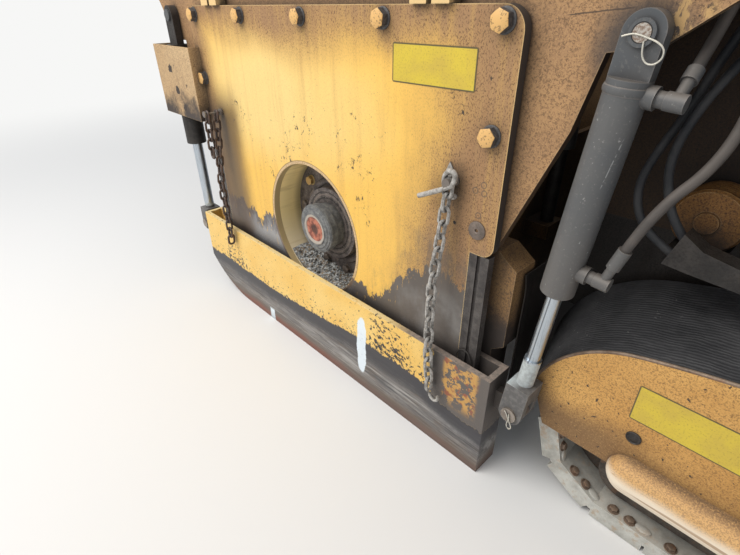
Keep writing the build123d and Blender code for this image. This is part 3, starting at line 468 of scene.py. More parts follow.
def grainy_finish(name, base, light, dark, low=None, chips=0.5, corner_shade_amount=0.7, slots=(), rim=(0.56, 0.38, 0.19),
                  edge=0.0, shade=0.0):
    """Dusty paint: a base colour with cloudy light patches, sandy grain, a dark lower part and dark slots.

    low is the (bottom, top) of where it darkens, shade how black the painted shade inward gets, and
    corner_shade_amount how dark the painted shade in corners is. With edge, which is how dark narrow sides
    are, it gets the web's marks too."""
    finish = Finish(name)
    along, depth, height = finish.places()
    finish.colour = finish.noise(2.6, 5, 0.6).step(0.42, 0.72).mix(base, light)
    finish.over(finish.noise(165, 5, 0.8).step(0.42, 0.54, 0.85, 0.0), dark)
    finish.over(finish.noise(290, 3, 0.7).step(0.50, 0.60, 0.0, 0.75), light)
    finish.over(finish.noise(20, 5, stretch=(1, 1, 0.08)).step(0.5, 0.75, 0.0, 0.35), dark)
    spots = finish.noise(34, 6, 0.72)
    bare = spots.step(0.71 - 0.03 * chips, 0.73 - 0.03 * chips)
    for slot_along, slot_height, size in slots:
        bare |= (finish.from_spot(slot_along, slot_height) + spots.around(0.05)).step(size, 0.9 * size)
    if low is not None:
        level = height + finish.noise(6, 6, 0.7).around(0.35)
        finish.over(level.step(low[1], low[0]), (0.060, 0.047, 0.040))
    finish.over(bare, (0.055, 0.042, 0.034))
    if edge:
        web_marks(finish, along, height, spots, edge)
    finish.over(finish.edges(0.004) * spots.step(0.62, 0.5) * 0.55, rim)
    # Painted shade in corners, from ambient occlusion.
    finish.over(finish.corners(0.09) * corner_shade_amount, PAINTED_SHADE_DARK)
    # Painted shade: near black deeper in and higher up, by depth and height.
    if shade:
        finish.over(depth.step(0.30, 0.44) * height.step(0.5, 0.9) * shade, (0.007, 0.006, 0.006))
    finish.bump(bare, -0.0006, 0.6)
    finish.bump(finish.noise(300, 3), 0.0005, 0.4)
    return finish.done(0.62, specular=0.3)


frame_paint = grainy_finish("dusty frame paint", (0.35, 0.203, 0.102), (0.47, 0.275, 0.125),
                            (0.155, 0.088, 0.046), edge=0.8)
guard_paint = grainy_finish("chipped guard paint", (0.50, 0.33, 0.17), (0.62, 0.44, 0.24),
                            (0.24, 0.15, 0.085), low=(1.00, 1.10), chips=2.2,
                            slots=((-1.057, 1.22, 0.022), (-1.014, 1.119, 0.024), (-0.962, 1.037, 0.022)))
corner_paint = grainy_finish("housing corner paint", (0.30, 0.165, 0.070), (0.42, 0.245, 0.10),
                             (0.10, 0.066, 0.048), low=(0.52, 0.70), chips=0.9)
# Painted shade: the box and housing colours are dark brown paint, darkened further as shade in the bay;
# shade=0.6 paints the box near black deeper in.
box_paint = grainy_finish("shaded box paint", (0.060, 0.030, 0.014), (0.115, 0.060, 0.022),
                          (0.016, 0.011, 0.009), chips=0.9, corner_shade_amount=0.95, rim=(0.13, 0.085, 0.05), shade=0.6)
hood_paint = grainy_finish("housing paint", (0.13, 0.075, 0.036), (0.22, 0.13, 0.055), (0.045, 0.030, 0.022),
                           chips=0.9, corner_shade_amount=0.9)

# %% [markdown]
# The ski slides on the road, so its paint survives only in a band below the top edge. Under a broken line
# it is bare steel, scoured lengthwise, with rust along the bottom. The heel end has lost nearly all its
# yellow. A brush of white marking paint crosses the band.

# %% Ski paint
def ski_steel(finish, along, height, under, scour, cloud):
    """Bare steel in long streaks: a bright band where it slides, scoured metal with a painted sheen on it,
    dark right below the paint, rusty at the foot.
    """
    hair = finish.noise(170, 4, 0.75, (0.03, 1, 1))
    # Painted sheen on scoured steel: a bright band at a set height along the ski.
    bright = abs(height + cloud.around(0.05) - 0.125).step(0.060, 0.010)
    bright *= scour.step(0.42, 0.62) * along.step(-0.5, 0.45, 0.3, 0.95) * hair.step(0.40, 0.55, 0.45, 1.0)
    rust = (height + cloud.around(0.06)).step(0.050, 0.012) * along.step(0.45, -0.05, 0.25, 0.9)
    layers = (
        (finish.noise(30, 6, 0.75, (0.25, 1, 1)).step(0.48, 0.66, 0.0, 0.75), (0.16, 0.115, 0.080)),
        (finish.noise(90, 4, 0.7, (0.12, 1, 1)).step(0.5, 0.7, 0.0, 0.6), (0.060, 0.055, 0.055)),
        (hair.step(0.47, 0.60, 0.0, 0.75), (0.055, 0.050, 0.050)),
        (hair.step(0.44, 0.36, 0.0, 0.5), (0.30, 0.265, 0.225)),
        (bright, (0.47, 0.455, 0.43)),
        ((height + scour.around(0.07)).step(0.085, 0.030) * 0.75, (0.155, 0.112, 0.082)),
        ((under + cloud.around(0.05)).step(0.120, 0.045, 0.0, 0.93), (0.044, 0.042, 0.048)),
        (rust, (0.26, 0.075, 0.040)),
    )
    steel = scour.step(0.32, 0.68).mix((0.105, 0.100, 0.100), (0.30, 0.275, 0.25))
    for mask, colour in layers:
        steel = mask.mix(steel, colour)
    return steel


def white_strokes(finish, along, height):
    """A brush stroke where (x/30 mm)^2 + (z/155 mm)^4 is under 1, and a dab, both on the left side."""
    sway = along + finish.noise(11, 4, 0.7).around(0.030) + height * -0.02
    left = finish.axes(finish.where)[1].step(0.0, -0.1)
    wide = (sway - 0.362) * (1 / 0.030)
    tall = (height - 0.235) * (1 / 0.155)
    square = tall * tall
    stroke = (wide * wide + square * square).step(1.0, 0.72) * left
    return stroke | abs(sway + 0.362).step(0.026, 0.018) * height.step(0.075, 0.06) * left


def ski_finish():
    finish = Finish("scoured ski paint")
    along, depth, height = finish.places()
    spots = finish.noise(60, 5, 0.7)
    scour = finish.noise(24, 6, 0.65, (0.07, 1, 1))
    cloud = finish.noise(4, 4)
    line = along.step(-0.3, 0.4, 0.215, 0.268) + along.step(0.62, 0.88, 0.0, -0.062)
    under = line + (finish.noise(13, 7, 0.78).around(0.065) + spots.around(0.035)) - height
    clusters = finish.near(-0.70, 0.25, 0.16) | finish.near(0.52, 0.31, 0.14) | finish.near(0.46, 0.42, 0.06)
    near_line, wear_right = under.step(-0.12, 0.0, 0.0, 0.06), along.step(0.15, 0.75, 0.0, 0.045)
    chips = (spots - (0.642 - clusters * 0.075 - (near_line + wear_right))).step(0.0, 0.012)
    yellow = cloud.step(0.35, 0.65).mix((0.84, 0.52, 0.125), (0.88, 0.60, 0.19))
    yellow = finish.noise(200, 2).step(0.55, 0.68, 0.0, 0.45).mix(yellow, (0.45, 0.25, 0.08))
    yellow = chips.mix(yellow, (0.046, 0.040, 0.038))
    bare = under.step(-0.003, 0.003)
    finish.colour = bare.mix(yellow, ski_steel(finish, along, height, under, scour, cloud))
    patches = finish.noise(17, 6, 0.75).step(0.495, 0.515) * height.step(0.22, 0.28)
    patches *= depth.step(-0.040, -0.045) * along.step(0.955, 0.93) * along.step(0.79, 0.81)
    old_paint = finish.noise(22, 3).step(0.52, 0.60).mix((0.56, 0.31, 0.09), (0.30, 0.10, 0.055))
    heel = (along + spots.around(0.06)).step(0.742, 0.752)
    finish.over(heel * bare.step(1.0, 0.3), patches.mix((0.125, 0.108, 0.096), old_paint))
    flat = height.step(0.4435, 0.4445)
    rim = finish.edges(0.006) * height.step(0.40, 0.43) * along.step(0.8, 0.5)
    rim = flat * along.step(0.66, 0.50, 0.15, 1.0) | rim
    finish.over(rim * spots.step(0.62, 0.55), (0.80, 0.62, 0.30))
    grey = spots.step(0.4, 0.6).mix((0.20, 0.17, 0.145), (0.34, 0.27, 0.22))
    finish.over(flat * along.step(0.50, 0.66), grey)
    strokes = white_strokes(finish, along, height) * spots.step(0.66, 0.58, 0.75, 0.97)
    finish.over(strokes, (0.78, 0.86, 0.91))
    # Painted shade in corners.
    finish.over(finish.corners(0.06) * 0.6, PAINTED_SHADE_DARK)
    finish.bump(chips | bare, -0.0007, 0.6)
    finish.bump(scour, 0.0010, 0.35)
    return finish.done(bare.step(0.0, 1.0, 0.48, 0.42), specular=0.4)


ski_paint = ski_finish()

# %% [markdown]
# The fender is a warmer orange, stippled all over with fine dark tar specks, browner toward its nose. Its
# guard tube is paler underneath, where dust from the track has settled and stones have scratched it
# lengthwise.

# %% Fender paint
def fender_finish():
    finish = Finish("speckled fender paint")
    along, depth, height = finish.places()
    grain, cloud = finish.noise(215, 5, 0.8), finish.noise(3.3, 4)
    finish.colour = cloud.step(0.35, 0.7).mix((0.56, 0.295, 0.084), (0.68, 0.385, 0.120))
    lower = (height + cloud.around(0.12)).step(0.48, 0.36) * along.step(1.60, 1.25, 0.25, 0.85)
    finish.over(lower, (0.17, 0.100, 0.052))
    finish.over(along.step(1.45, 2.0, 0.0, 0.5), (0.38, 0.20, 0.065))
    finish.over(grain.step(0.50, 0.59, 0.0, 0.75), (0.20, 0.105, 0.042))
    finish.over(grain.step(0.44, 0.36, 0.0, 0.4), (0.72, 0.46, 0.17))
    chips = (finish.noise(52, 4, 0.6) + along.step(1.6, 1.15, 0.0, 0.02)).step(0.668, 0.682)
    finish.over(chips, (0.075, 0.050, 0.036))
    scratch = finish.noise(34, 4, stretch=(0.04, 1, 1))
    sand = scratch.step(0.56, 0.62).mix((0.84, 0.72, 0.56), (0.50, 0.36, 0.24))
    turned = finish.facing()[2] + cloud.around(0.5)
    tube_top = finish.noise(260, 3, 0.7).step(0.44, 0.62).mix((0.66, 0.395, 0.160), (0.40, 0.235, 0.110))
    # Darker where the tube faces up, against the fender.
    dark_top_band = turned.step(0.70, 1.0) * grain.step(0.36, 0.54) * 0.75
    tube_top = dark_top_band.mix(tube_top, (0.13, 0.080, 0.048))
    tube = depth.step(0.0665, 0.0655)
    finish.over(tube, turned.step(0.50, -0.05).mix(tube_top, sand))
    finish.over(finish.edges(0.004) * tube.step(1.0, 0.0) * 0.7, (0.34, 0.20, 0.11))
    # Painted shade in corners.
    finish.over(finish.corners(0.06) * 0.7, PAINTED_SHADE_DARK)
    finish.bump(grain, 0.0006, 0.5)
    finish.bump(chips, -0.0006, 0.6)
    return finish.done(0.60, specular=0.3)


fender_paint = fender_finish()

# %% [markdown]
# Inside the hole the sleeve's wall is sandy with dust and brushed along the drum, darker at the top. The
# hub is a grey turned disc whose face has worn down to red primer. Its rings are worked out from the
# distance to the drum's axis, and because the pattern is fixed to the piece, it turns with the drum.

# %% Sleeve and hub
def sleeve_finish():
    finish = Finish("dusty sleeve wall")
    along, depth, height = finish.places()
    brushed = finish.noise(30, 5, stretch=(1, 0.12, 1))
    level = height + brushed.around(0.12)
    finish.colour = level.step(0.42, 0.66).mix((0.74, 0.62, 0.42), (0.98, 0.77, 0.36))
    finish.over(level.step(0.84, 0.96), (0.42, 0.28, 0.13))
    finish.over(brushed.step(0.5, 0.7, 0.0, 0.35), (0.44, 0.30, 0.13))
    # Painted shade: the wall is darker deeper into the hole.
    finish.over(depth.step(0.10, 0.15, 0.0, 0.5), (0.10, 0.075, 0.055))
    finish.bump(brushed, 0.001, 0.4)
    return finish.done(0.65, specular=0.3)


def hub_finish():
    finish = Finish("worn hub face")
    mottle = finish.noise(45, 5, 0.7)
    radius = finish.from_spot(0, DRUM_Z) + finish.noise(16, 3).around(0.014)
    red = mottle.step(0.40, 0.60).mix((0.50, 0.175, 0.105), (0.20, 0.060, 0.040))
    finish.colour = mottle.step(0.38, 0.65).mix((0.105, 0.108, 0.110), (0.215, 0.215, 0.205))
    finish.over(radius.step(0.072, 0.066), (0.42, 0.37, 0.31))
    finish.over(radius.step(0.059, 0.054), red)
    finish.over(radius.step(0.030, 0.018, 0.0, 0.85), (0.050, 0.028, 0.022))
    # Painted shade in corners.
    finish.over(finish.corners(0.03) * 0.7, PAINTED_SHADE_DARK)
    finish.bump(mottle, 0.0014, 0.6)
    return finish.done(0.55, specular=0.4)


FLANGE_RINGS = (  # radius, half width, colour
    # The first ring, near black next to the hub, is the hub's painted shadow.
    (0.1200, 0.006, (0.012, 0.010, 0.010)), (0.1345, 0.004, (0.26, 0.215, 0.175)),
    (0.1460, 0.004, (0.020, 0.016, 0.015)), (0.1720, 0.004, (0.30, 0.245, 0.19)),
    (0.2025, 0.003, (0.015, 0.012, 0.012)))


def flange_finish():
    """Bearing flange in oily dust: dark turned grooves, gritty light rims and the hub's painted shadow are
    rings round its axis.
    """
    finish = Finish("gritty flange steel")
    mottle, grit = finish.noise(26, 6, 0.75), finish.noise(110, 4, 0.7)
    finish.colour = mottle.step(0.36, 0.66).mix((0.070, 0.060, 0.057), (0.235, 0.195, 0.175))
    for radius, width, tone in FLANGE_RINGS:
        ring = abs(finish.from_spot(0, DRUM_Z) + mottle.around(0.004) - radius).step(width, 0.4 * width)
        finish.over(ring * grit.step(0.40, 0.50, 0.35, 0.9), tone)
    finish.over(grit.step(0.60, 0.64, 0.0, 0.8), (0.30, 0.27, 0.23))
    # Painted shade in corners.
    finish.over(finish.corners(0.05) * 0.5, PAINTED_SHADE_DARK)
    finish.bump(grit, 0.0015, 0.5)
    finish.bump(mottle, 0.004, 0.5)
    return finish.done(0.6, specular=0.4)


sleeve_paint = sleeve_finish()
flange_paint = flange_finish()
hub_steel = hub_finish()
print("paints made")

# %% [markdown]
# Bare and oily metal comes in a few kinds: the cylinder's thin grey coat under brown dust, polished
# chrome on the rods, dark castings full of oil and grit, and the crawler's shoes, which are ground
# bright and then covered in pale road dust.

# %% Metals and rubber
GREY_COAT = ((0.072, 0.078, 0.084), (0.105, 0.104, 0.102))
CYLINDER_TOP, CYLINDER_BOTTOM = (1.155, 0.015, 1.444), (1.058, 0.015, 0.345)


def dusty_metal(name, dark, light, dust, dust_amount=0.5, scale=14.0, metallic=0.3, rough=0.55, rust=None,
                corner_shade_amount=0.6):
    """Metal between two tones, with dust on what faces up, painted shade in corners and any rust in blotches.
    """
    finish = Finish(name)
    tone, fine = finish.noise(scale, 6, 0.7), finish.noise(180, 3)
    finish.colour = tone.step(0.35, 0.68).mix(dark, light)
    finish.over(fine.step(0.55, 0.7, 0.0, 0.35), dark)
    if rust is not None:
        finish.over(finish.noise(2.4 * scale, 5, 0.7).step(0.52, 0.66), rust)
    settled = finish.facing()[2].step(-0.2, 0.9, 0.25, 1.0) * dust_amount
    finish.over(settled * tone.step(0.3, 0.62, 0.4, 1.0), dust)
    # Painted shade in corners.
    finish.over(finish.corners(0.05) * corner_shade_amount, PAINTED_SHADE_DARK)
    finish.over(finish.edges(0.003) * 0.35, tuple(min(1, 1.8 * v) for v in light))
    finish.bump(fine, 0.0005, 0.5)
    finish.bump(tone, 0.003, 0.35)
    return finish.done(fine.step(0.3, 0.7, rough - 0.1, rough + 0.15), metallic=metallic)


def cylinder_finish():
    """Grey coat, browner with dust lower down and on what faces up, with a line of small bright scratches."""
    finish = Finish("grey cylinder coat")
    along, depth, height = finish.places()
    cloud, fine = finish.noise(5, 5), finish.noise(150, 3)
    finish.colour = cloud.step(0.35, 0.68).mix(*GREY_COAT)
    finish.over((height + cloud.around(0.3)).step(1.15, 0.85, 0.0, 0.7), (0.128, 0.118, 0.108))
    finish.over(finish.facing()[2].step(0.1, 0.9, 0.0, 0.7), (0.19, 0.165, 0.14))
    finish.over(fine.step(0.56, 0.70, 0.0, 0.35), (0.19, 0.18, 0.165))
    scratch = abs(along - height * 0.165 - 0.969).step(0.0012, 0.0005) * finish.noise(60, 3).step(0.44, 0.52)
    scratch *= abs(height - 1.19).step(0.060, 0.045)
    nicks = finish.noise(150, 2).step(0.715, 0.73) * cloud.step(0.5, 0.6)
    finish.over((scratch | nicks) * 0.6, (0.42, 0.42, 0.41))
    # Painted shade in corners.
    finish.over(finish.corners(0.05) * 0.7, PAINTED_SHADE_DARK)
    finish.over(finish.edges(0.003) * 0.45, (0.24, 0.22, 0.20))
    finish.bump(fine, 0.0004, 0.4)
    return finish.done(0.5, specular=0.45)


def rod_finish(name, fork_top, collar_top):
    """Polished rod with a painted dark reflection along it, a matt pale collar up to collar_top and a grey
    coat on the fork below fork_top.
    """
    finish = Finish(name)
    along, depth, height = finish.places()
    scratch, mottle = finish.noise(60, 4, stretch=(6, 6, 0.3)), finish.noise(70, 4).step(0.4, 0.65)
    polished = scratch.step(0.5, 0.75, 0.0, 0.5).mix((0.50, 0.55, 0.60), (0.24, 0.26, 0.27))
    # Painted reflection: a dark line down the length of the polished rod.
    dark_reflection_line = abs(along - height * 0.0883 - 1.0255).step(0.0024, 0.0012)
    polished = (dark_reflection_line * 0.8).mix(polished, (0.10, 0.11, 0.13))
    pale = mottle.mix((0.48, 0.52, 0.515), (0.37, 0.39, 0.385))
    grey = mottle.mix((0.105, 0.100, 0.096), (0.155, 0.148, 0.140))
    grey = (finish.edges(0.003) * 0.5).mix(grey, (0.30, 0.28, 0.25))
    collar = height.step(collar_top + 0.002, collar_top)
    finish.colour = height.step(fork_top + 0.004, fork_top).mix(collar.mix(polished, pale), grey)
    finish.bump(scratch, 0.0002, 0.3)
    return finish.done(scratch.step(0.3, 0.7, 0.26, 0.42) | collar * 0.55, metallic=collar.step(1.0, 0.0))


def rubber_finish():
    """Fender rubber: near black, with ribs a centimetre apart along it, their height a sine of the depth."""
    finish = Finish("ribbed rubber")
    bent = finish.places()[1] + finish.noise(9, 4, 0.65).around(0.026)
    rib = finish.sum("SINE", bent * (2 * math.pi / 0.0095))
    breaks, dust = finish.noise(40, 4, stretch=(0.35, 1, 1)), finish.noise(5, 6, 0.7)
    flakes = finish.noise(130, 2, stretch=(0.5, 1, 1)).step(0.71, 0.73) * dust.step(0.5, 0.6)
    finish.colour = dust.step(0.35, 0.7).mix((0.034, 0.034, 0.036), (0.066, 0.065, 0.067))
    finish.over(rib.step(-0.2, 1.0) * breaks.step(0.42, 0.62) * 0.6, (0.098, 0.097, 0.098))
    finish.over(flakes, (0.34, 0.33, 0.31))
    # Painted shade in corners, near black.
    finish.over(finish.corners(0.08) * 0.8, (0.008, 0.008, 0.008))
    finish.bump(rib, 0.0008, 0.5)
    finish.bump(breaks, 0.0012, 0.5)
    return finish.done(0.58, specular=0.35)


def hose_finish(name, base, dusty):
    """Smooth hose cover with dust rubbed into it."""
    finish = Finish(name)
    finish.colour = finish.noise(9, 5).step(0.35, 0.7).mix(base, dusty)
    finish.over(finish.facing()[2].step(0.0, 0.8) * 0.5, dusty)
    finish.bump(finish.noise(260, 3), 0.0004, 0.5)
    return finish.done(0.6, specular=0.35)


def chain_finish():
    """Zinc grey on the rear chains and rusty brown on the front ones, which lie deeper in the dust."""
    finish = Finish("chain steel")
    mottle = finish.noise(75, 4, 0.7)
    patches = mottle.step(0.38, 0.64)
    zinc = patches.mix((0.46, 0.44, 0.405), (0.215, 0.20, 0.18))
    rusty = patches.mix((0.10, 0.058, 0.040), (0.040, 0.028, 0.024))
    finish.colour = finish.places()[0].step(-0.1, 0.1).mix(rusty, zinc)
    # Painted shade where the links meet.
    finish.over(finish.corners(0.02) * 0.6, (0.03, 0.025, 0.022))
    finish.bump(mottle, 0.0006, 0.5)
    return finish.done(0.5, specular=0.5)


def pin_finish():
    """Rusty bright pin end in a ring coated like the cylinder, which starts 18 mm from the pin's axis."""
    finish = Finish("cylinder pin end")
    fine = finish.noise(160, 4, 0.7)
    bright = fine.step(0.42, 0.60).mix((0.44, 0.40, 0.35), (0.20, 0.135, 0.095))
    away = finish.from_spot(CYLINDER_TOP[0], CYLINDER_TOP[2])
    groove = abs(away - 0.0183).step(0.0014, 0.0004)
    finish.colour = away.step(0.0175, 0.0183).mix(bright, fine.step(0.4, 0.65).mix(*GREY_COAT))
    finish.over(groove, (0.018, 0.016, 0.015))
    finish.bump(fine, 0.0005, 0.5)
    finish.bump(groove, -0.002, 0.8)
    return finish.done(0.5, specular=0.45)


dark_steel = dusty_metal("oily dark steel", (0.020, 0.018, 0.017), (0.050, 0.044, 0.040),
                         (0.085, 0.070, 0.056), dust_amount=0.3)
flange_steel = dusty_metal("gritty flange steel", (0.065, 0.053, 0.048), (0.205, 0.160, 0.135),
                           (0.28, 0.23, 0.175), corner_shade_amount=0.4)
guide_steel = dusty_metal("guide bar steel", (0.045, 0.040, 0.039), (0.115, 0.104, 0.097),
                          (0.17, 0.145, 0.12), dust_amount=0.3)
shoe_steel = dusty_metal("dusty shoe steel", (0.31, 0.30, 0.265), (0.56, 0.555, 0.505), (0.58, 0.55, 0.48),
                         0.6, 11.0, 0.0, 0.7, (0.42, 0.31, 0.21), 0.3)
pin_steel = dusty_metal("pin steel", (0.17, 0.14, 0.12), (0.36, 0.32, 0.28), (0.38, 0.32, 0.25), metallic=0.6)
pick_steel = dusty_metal("worn pick steel", (0.09, 0.07, 0.055), (0.30, 0.26, 0.22), (0.30, 0.24, 0.17),
                         metallic=0.6)
drum_steel = dusty_metal("worn drum steel", (0.075, 0.055, 0.042), (0.19, 0.155, 0.13), (0.22, 0.17, 0.12),
                         rust=(0.16, 0.075, 0.04))
deck_grey = dusty_metal("deck plate coat", (0.060, 0.058, 0.056), (0.115, 0.110, 0.104),
                        (0.22, 0.185, 0.145), scale=5.0, metallic=0.1)
wheel_steel = dusty_metal("crawler frame steel", (0.040, 0.034, 0.030), (0.115, 0.095, 0.080),
                          (0.24, 0.20, 0.155), rust=(0.13, 0.07, 0.04))
cylinder_grey = cylinder_finish()
lift_hose_rubber = hose_finish("dusty hose cover", (0.060, 0.054, 0.050), (0.110, 0.094, 0.082))
bay_hose_rubber = hose_finish("black hose cover", (0.018, 0.020, 0.024), (0.050, 0.050, 0.052))
chain_steel = chain_finish()
finishes = {
    "cover_plate": cover_paint, "drum_sleeve": sleeve_paint, "bearing_flange": flange_paint,
    "guide_bars": guide_steel, "ski": ski_paint, "top_pins": pin_finish(), "ski_pins": pin_steel,
    "lift_barrel": cylinder_grey, "lift_rod": rod_finish("lift rod", 0.462, 0.560),
    "front_barrel": dark_steel, "front_rod": rod_finish("front lift rod", 0.452, 0.47),
    "cylinder_guard": guard_paint, "crawler_track": shoe_steel, "crawler_frame": wheel_steel,
    "crawler_wheels": wheel_steel, "crawler_leg": dark_steel, "leg_sleeve": box_paint,
    "crawler_fender": fender_paint, "fender_rubber": rubber_finish(), "moldboard_beam": box_paint,
    "deck_plate": deck_grey, "chassis_box": box_paint, "drum_hood": hood_paint, "throat_wall": box_paint,
    "drum_shell": drum_steel, "drum_shaft": hub_steel, "hook_chains": chain_steel,
    "housing_corners": corner_paint, "lift_hoses": lift_hose_rubber, "bay_hoses": bay_hose_rubber,
    "drum_picks": pick_steel, "moldboard": hood_paint, "moldboard_rods": dark_steel,
    "moldboard_barrels": cylinder_grey,
}
for node_name, node in nodes.items():
    wear(node, finishes.get(node_name.removesuffix("_left").removesuffix("_right"), frame_paint))
print("finished", len(nodes), "nodes")

# %% [markdown]
# Four hoses a side feed the cylinders. Each is a fixed length of stiff rubber hose between two fittings, so
# its line is Blender's own smooth curve through a few control points, and the tube is a ring carried along
# that line.

# %% Hoses
def smooth_line(route, steps=8):
    """Points along the NURBS curve of order 3 that a route's control points shape."""
    data = bpy.data.curves.new("hose line", "CURVE")
    data.dimensions = "3D"
    data.resolution_u = steps
    spline = data.splines.new("NURBS")
    spline.points.add(len(route) - 1)
    spline.points.foreach_set("co", np.column_stack([route, np.ones(len(route))]).ravel())
    spline.order_u = 3
    spline.use_endpoint_u = True
    holder = link_object("hose line", data)
    mesh = bpy.data.meshes.new_from_object(holder)
    line = np.array([vertex.co for vertex in mesh.vertices])
    bpy.data.objects.remove(holder)
    bpy.data.meshes.remove(mesh)
    return line


def tube(line, radius, segments=16, side=(0, 1, 0)):
    """Rings p + r (cos a * n + sin a * b) at a line's points p, n square to its run and side, b to both."""
    run = np.gradient(line, axis=0)
    run /= np.linalg.norm(run, axis=1)[:, None]
    n = np.cross(run, np.array(side, float))
    n /= np.linalg.norm(n, axis=1)[:, None]
    b = np.cross(run, n)
    angle = full_turn(segments)[None, :, None]
    points = line[:, None, :] + radius * (np.cos(angle) * n[:, None, :] + np.sin(angle) * b[:, None, :])
    faces = grid_faces(len(line), segments, wrap_columns=True)
    faces += [list(range(start, start + segments)) for start in (0, (len(line) - 1) * segments)]
    return points.reshape(-1, 3), faces


LIFT_HOSE, BAY_HOSE = 0.024, 0.022
hose_routes = {  # diameter, the node it replaces, the body at its low end, route
    "lift_hose_upper": (LIFT_HOSE, "lift_hoses", "lift_barrel", [
        (1.2451, 0.0700, 1.3796), (1.2466, 0.1050, 1.4151), (1.252, 0.130, 1.463), (1.259, 0.143, 1.512),
        (1.264, 0.147, 1.556), (1.264, 0.147, 1.5997)]),
    "lift_hose_lower": (LIFT_HOSE, "lift_hoses", "lift_barrel", [
        (1.2339, 0.0181, 0.9926), (1.2512, 0.0200, 1.0521), (1.286, 0.042, 1.132), (1.322, 0.066, 1.184),
        (1.345, 0.092, 1.250), (1.352, 0.112, 1.335), (1.350, 0.123, 1.425), (1.346, 0.129, 1.510),
        (1.346, 0.129, 1.5997)]),
    "bay_hose_front": (BAY_HOSE, "bay_hoses", "crawler", [
        (1.294, 0.254, 1.5997), (1.294, 0.254, 1.545), (1.271, 0.254, 1.468), (1.238, 0.254, 1.374),
        (1.214, 0.254, 1.272), (1.172, 0.253, 1.164), (1.154, 0.250, 1.078), (1.176, 0.240, 1.002),
        (1.231, 0.226, 0.954), (1.2976, 0.2186, 0.9269)]),
    "bay_hose_rear": (BAY_HOSE, "bay_hoses", "crawler", [
        (1.345, 0.224, 1.5997), (1.345, 0.224, 1.540), (1.322, 0.224, 1.450), (1.276, 0.224, 1.366),
        (1.244, 0.224, 1.296), (1.221, 0.224, 1.216), (1.217, 0.223, 1.146), (1.235, 0.222, 1.076),
        (1.268, 0.220, 1.013), (1.3091, 0.220, 0.9701)]),
}
for side, word in SIDES:
    for name, (diameter, node_name, body, route) in hose_routes.items():
        line = smooth_line(on_side(route, side))
        hose = link_object(f"{name}_{word}", mesh_from(f"{name}_{word}", *tube(line, diameter / 2)))
        wear(hose, finishes[node_name])
        length = float(np.linalg.norm(np.diff(line, axis=0), axis=1).sum())
        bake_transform(hose)
        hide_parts(f"{node_name}_{word}")
        print(hose.name, "is", round(length, 3), "m long")

# %% [markdown]
# Seven bolts hold each cover plate. A head is a hexagon whose corners are turned off at the top, on a flange
# that is one piece with it. Their faces are yellow, and their sides and flanges dark blue-grey.

# %% Cover bolts
def bolt_finish():
    """Yellow with specks on the outer face of the heads, dark blue-grey deeper in."""
    finish = Finish("bolt head")
    speck = finish.noise(150, 3, 0.6)
    face = speck.step(0.56, 0.63, 0.0, 0.8).mix((0.72, 0.43, 0.155), (0.24, 0.14, 0.060))
    flank = speck.step(0.4, 0.65).mix((0.050, 0.050, 0.054), (0.105, 0.098, 0.092))
    finish.colour = finish.places()[1].step(-0.0252, -0.0258).mix(flank, face)
    # Painted shade in corners.
    finish.over(finish.corners(0.02) * 0.7, PAINTED_SHADE_DARK)
    finish.bump(speck, 0.0005, 0.5)
    return finish.done(0.5, specular=0.4)


def flanged_bolt(apothem=0.0235, head=0.024, flange=0.0300, rim=0.005):
    """A hexagon head standing on a round flange with a sloping top."""
    washer = lathe([(0, 0), (flange, 0), (flange, 0.55 * rim), (apothem * 1.12, rim), (0, rim)], 32)
    points, faces = hexagon(apothem, head)
    return gather([washer, (points + np.array([0, 0, rim]), faces)])


def set_at(shape, spots, side, turn=17.0):
    """Copies of a shape at (along, depth, height) spots, facing outward, each turned 17 degrees more."""
    parts = []
    for number, spot in enumerate(spots):
        c, s = math.cos(math.radians(turn * number)), math.sin(math.radians(turn * number))
        spun = np.asarray(shape[0]) @ np.array([[c, s, 0], [-s, c, 0], [0, 0, 1]])
        parts.append(facing_out((spun, shape[1]), spot, side))
    return gather(parts)


cover_spots = [(along, 0.0, 1.460) for along in (-0.782, -0.375, 0.032, 0.439, 0.846)]
cover_spots += [(-0.782, 0.0, 1.193), (0.846, 0.0, 1.193)]
add_pair("cover_bolts", lambda side: set_at(flanged_bolt(), cover_spots, side), bolt_finish(), "frame")
print(len(cover_spots), "cover bolts a side")

# %% [markdown]
# The hub's end is turned in steps, and its rim has worn uneven. It is a profile spun round the drum's axis,
# with the radius of its outer rings varied slowly round the turn. Behind it, bolts hold the bearing flange
# in a circle, and broken asphalt has gathered in the bottom of the hole.

# %% Hub, flange bolts and the heap of asphalt
HUB_PROFILE = [(0.0, 0.0035), (0.012, 0.003), (0.020, 0.0065), (0.056, 0.0075), (0.060, 0.0105),
               (0.070, 0.011), (0.073, 0.0075), (0.086, 0.007), (0.090, 0.0035), (0.101, 0.003),
               (0.104, -0.002), (0.1105, -0.004), (0.1105, -0.012), (0.1075, -0.014), (0.1075, -0.0145)]
HUB_WAVES = ((3, 0.4), (7, 1.9), (11, 4.0), (16, 2.2))
COLLAR_PROFILE = [(0.1750, 0.0), (0.2000, 0.0), (0.2000, 0.010), (0.1950, 0.013), (0.1800, 0.013),
                  (0.1750, 0.010), (0.1750, 0.0)]
FLANGE_BOLTS, FLANGE_RING, FLANGE_DEPTH = 10, 0.235, 0.150


def worn_hub(ripple=0.0016):
    """The hub's lathe with a wavy rim: r becomes r + ripple * (r/R)^6 * a mean of sines of the angle."""
    points, faces = lathe(HUB_PROFILE, 96)
    angle, radius = np.arctan2(points[:, 1], points[:, 0]), np.hypot(points[:, 0], points[:, 1])
    wave = sum(np.sin(count * angle + phase) for count, phase in HUB_WAVES) / len(HUB_WAVES)
    grown = radius + ripple * (radius / radius.max()) ** 6 * wave
    points[:, 0], points[:, 1] = grown * np.cos(angle), grown * np.sin(angle)
    return points, faces


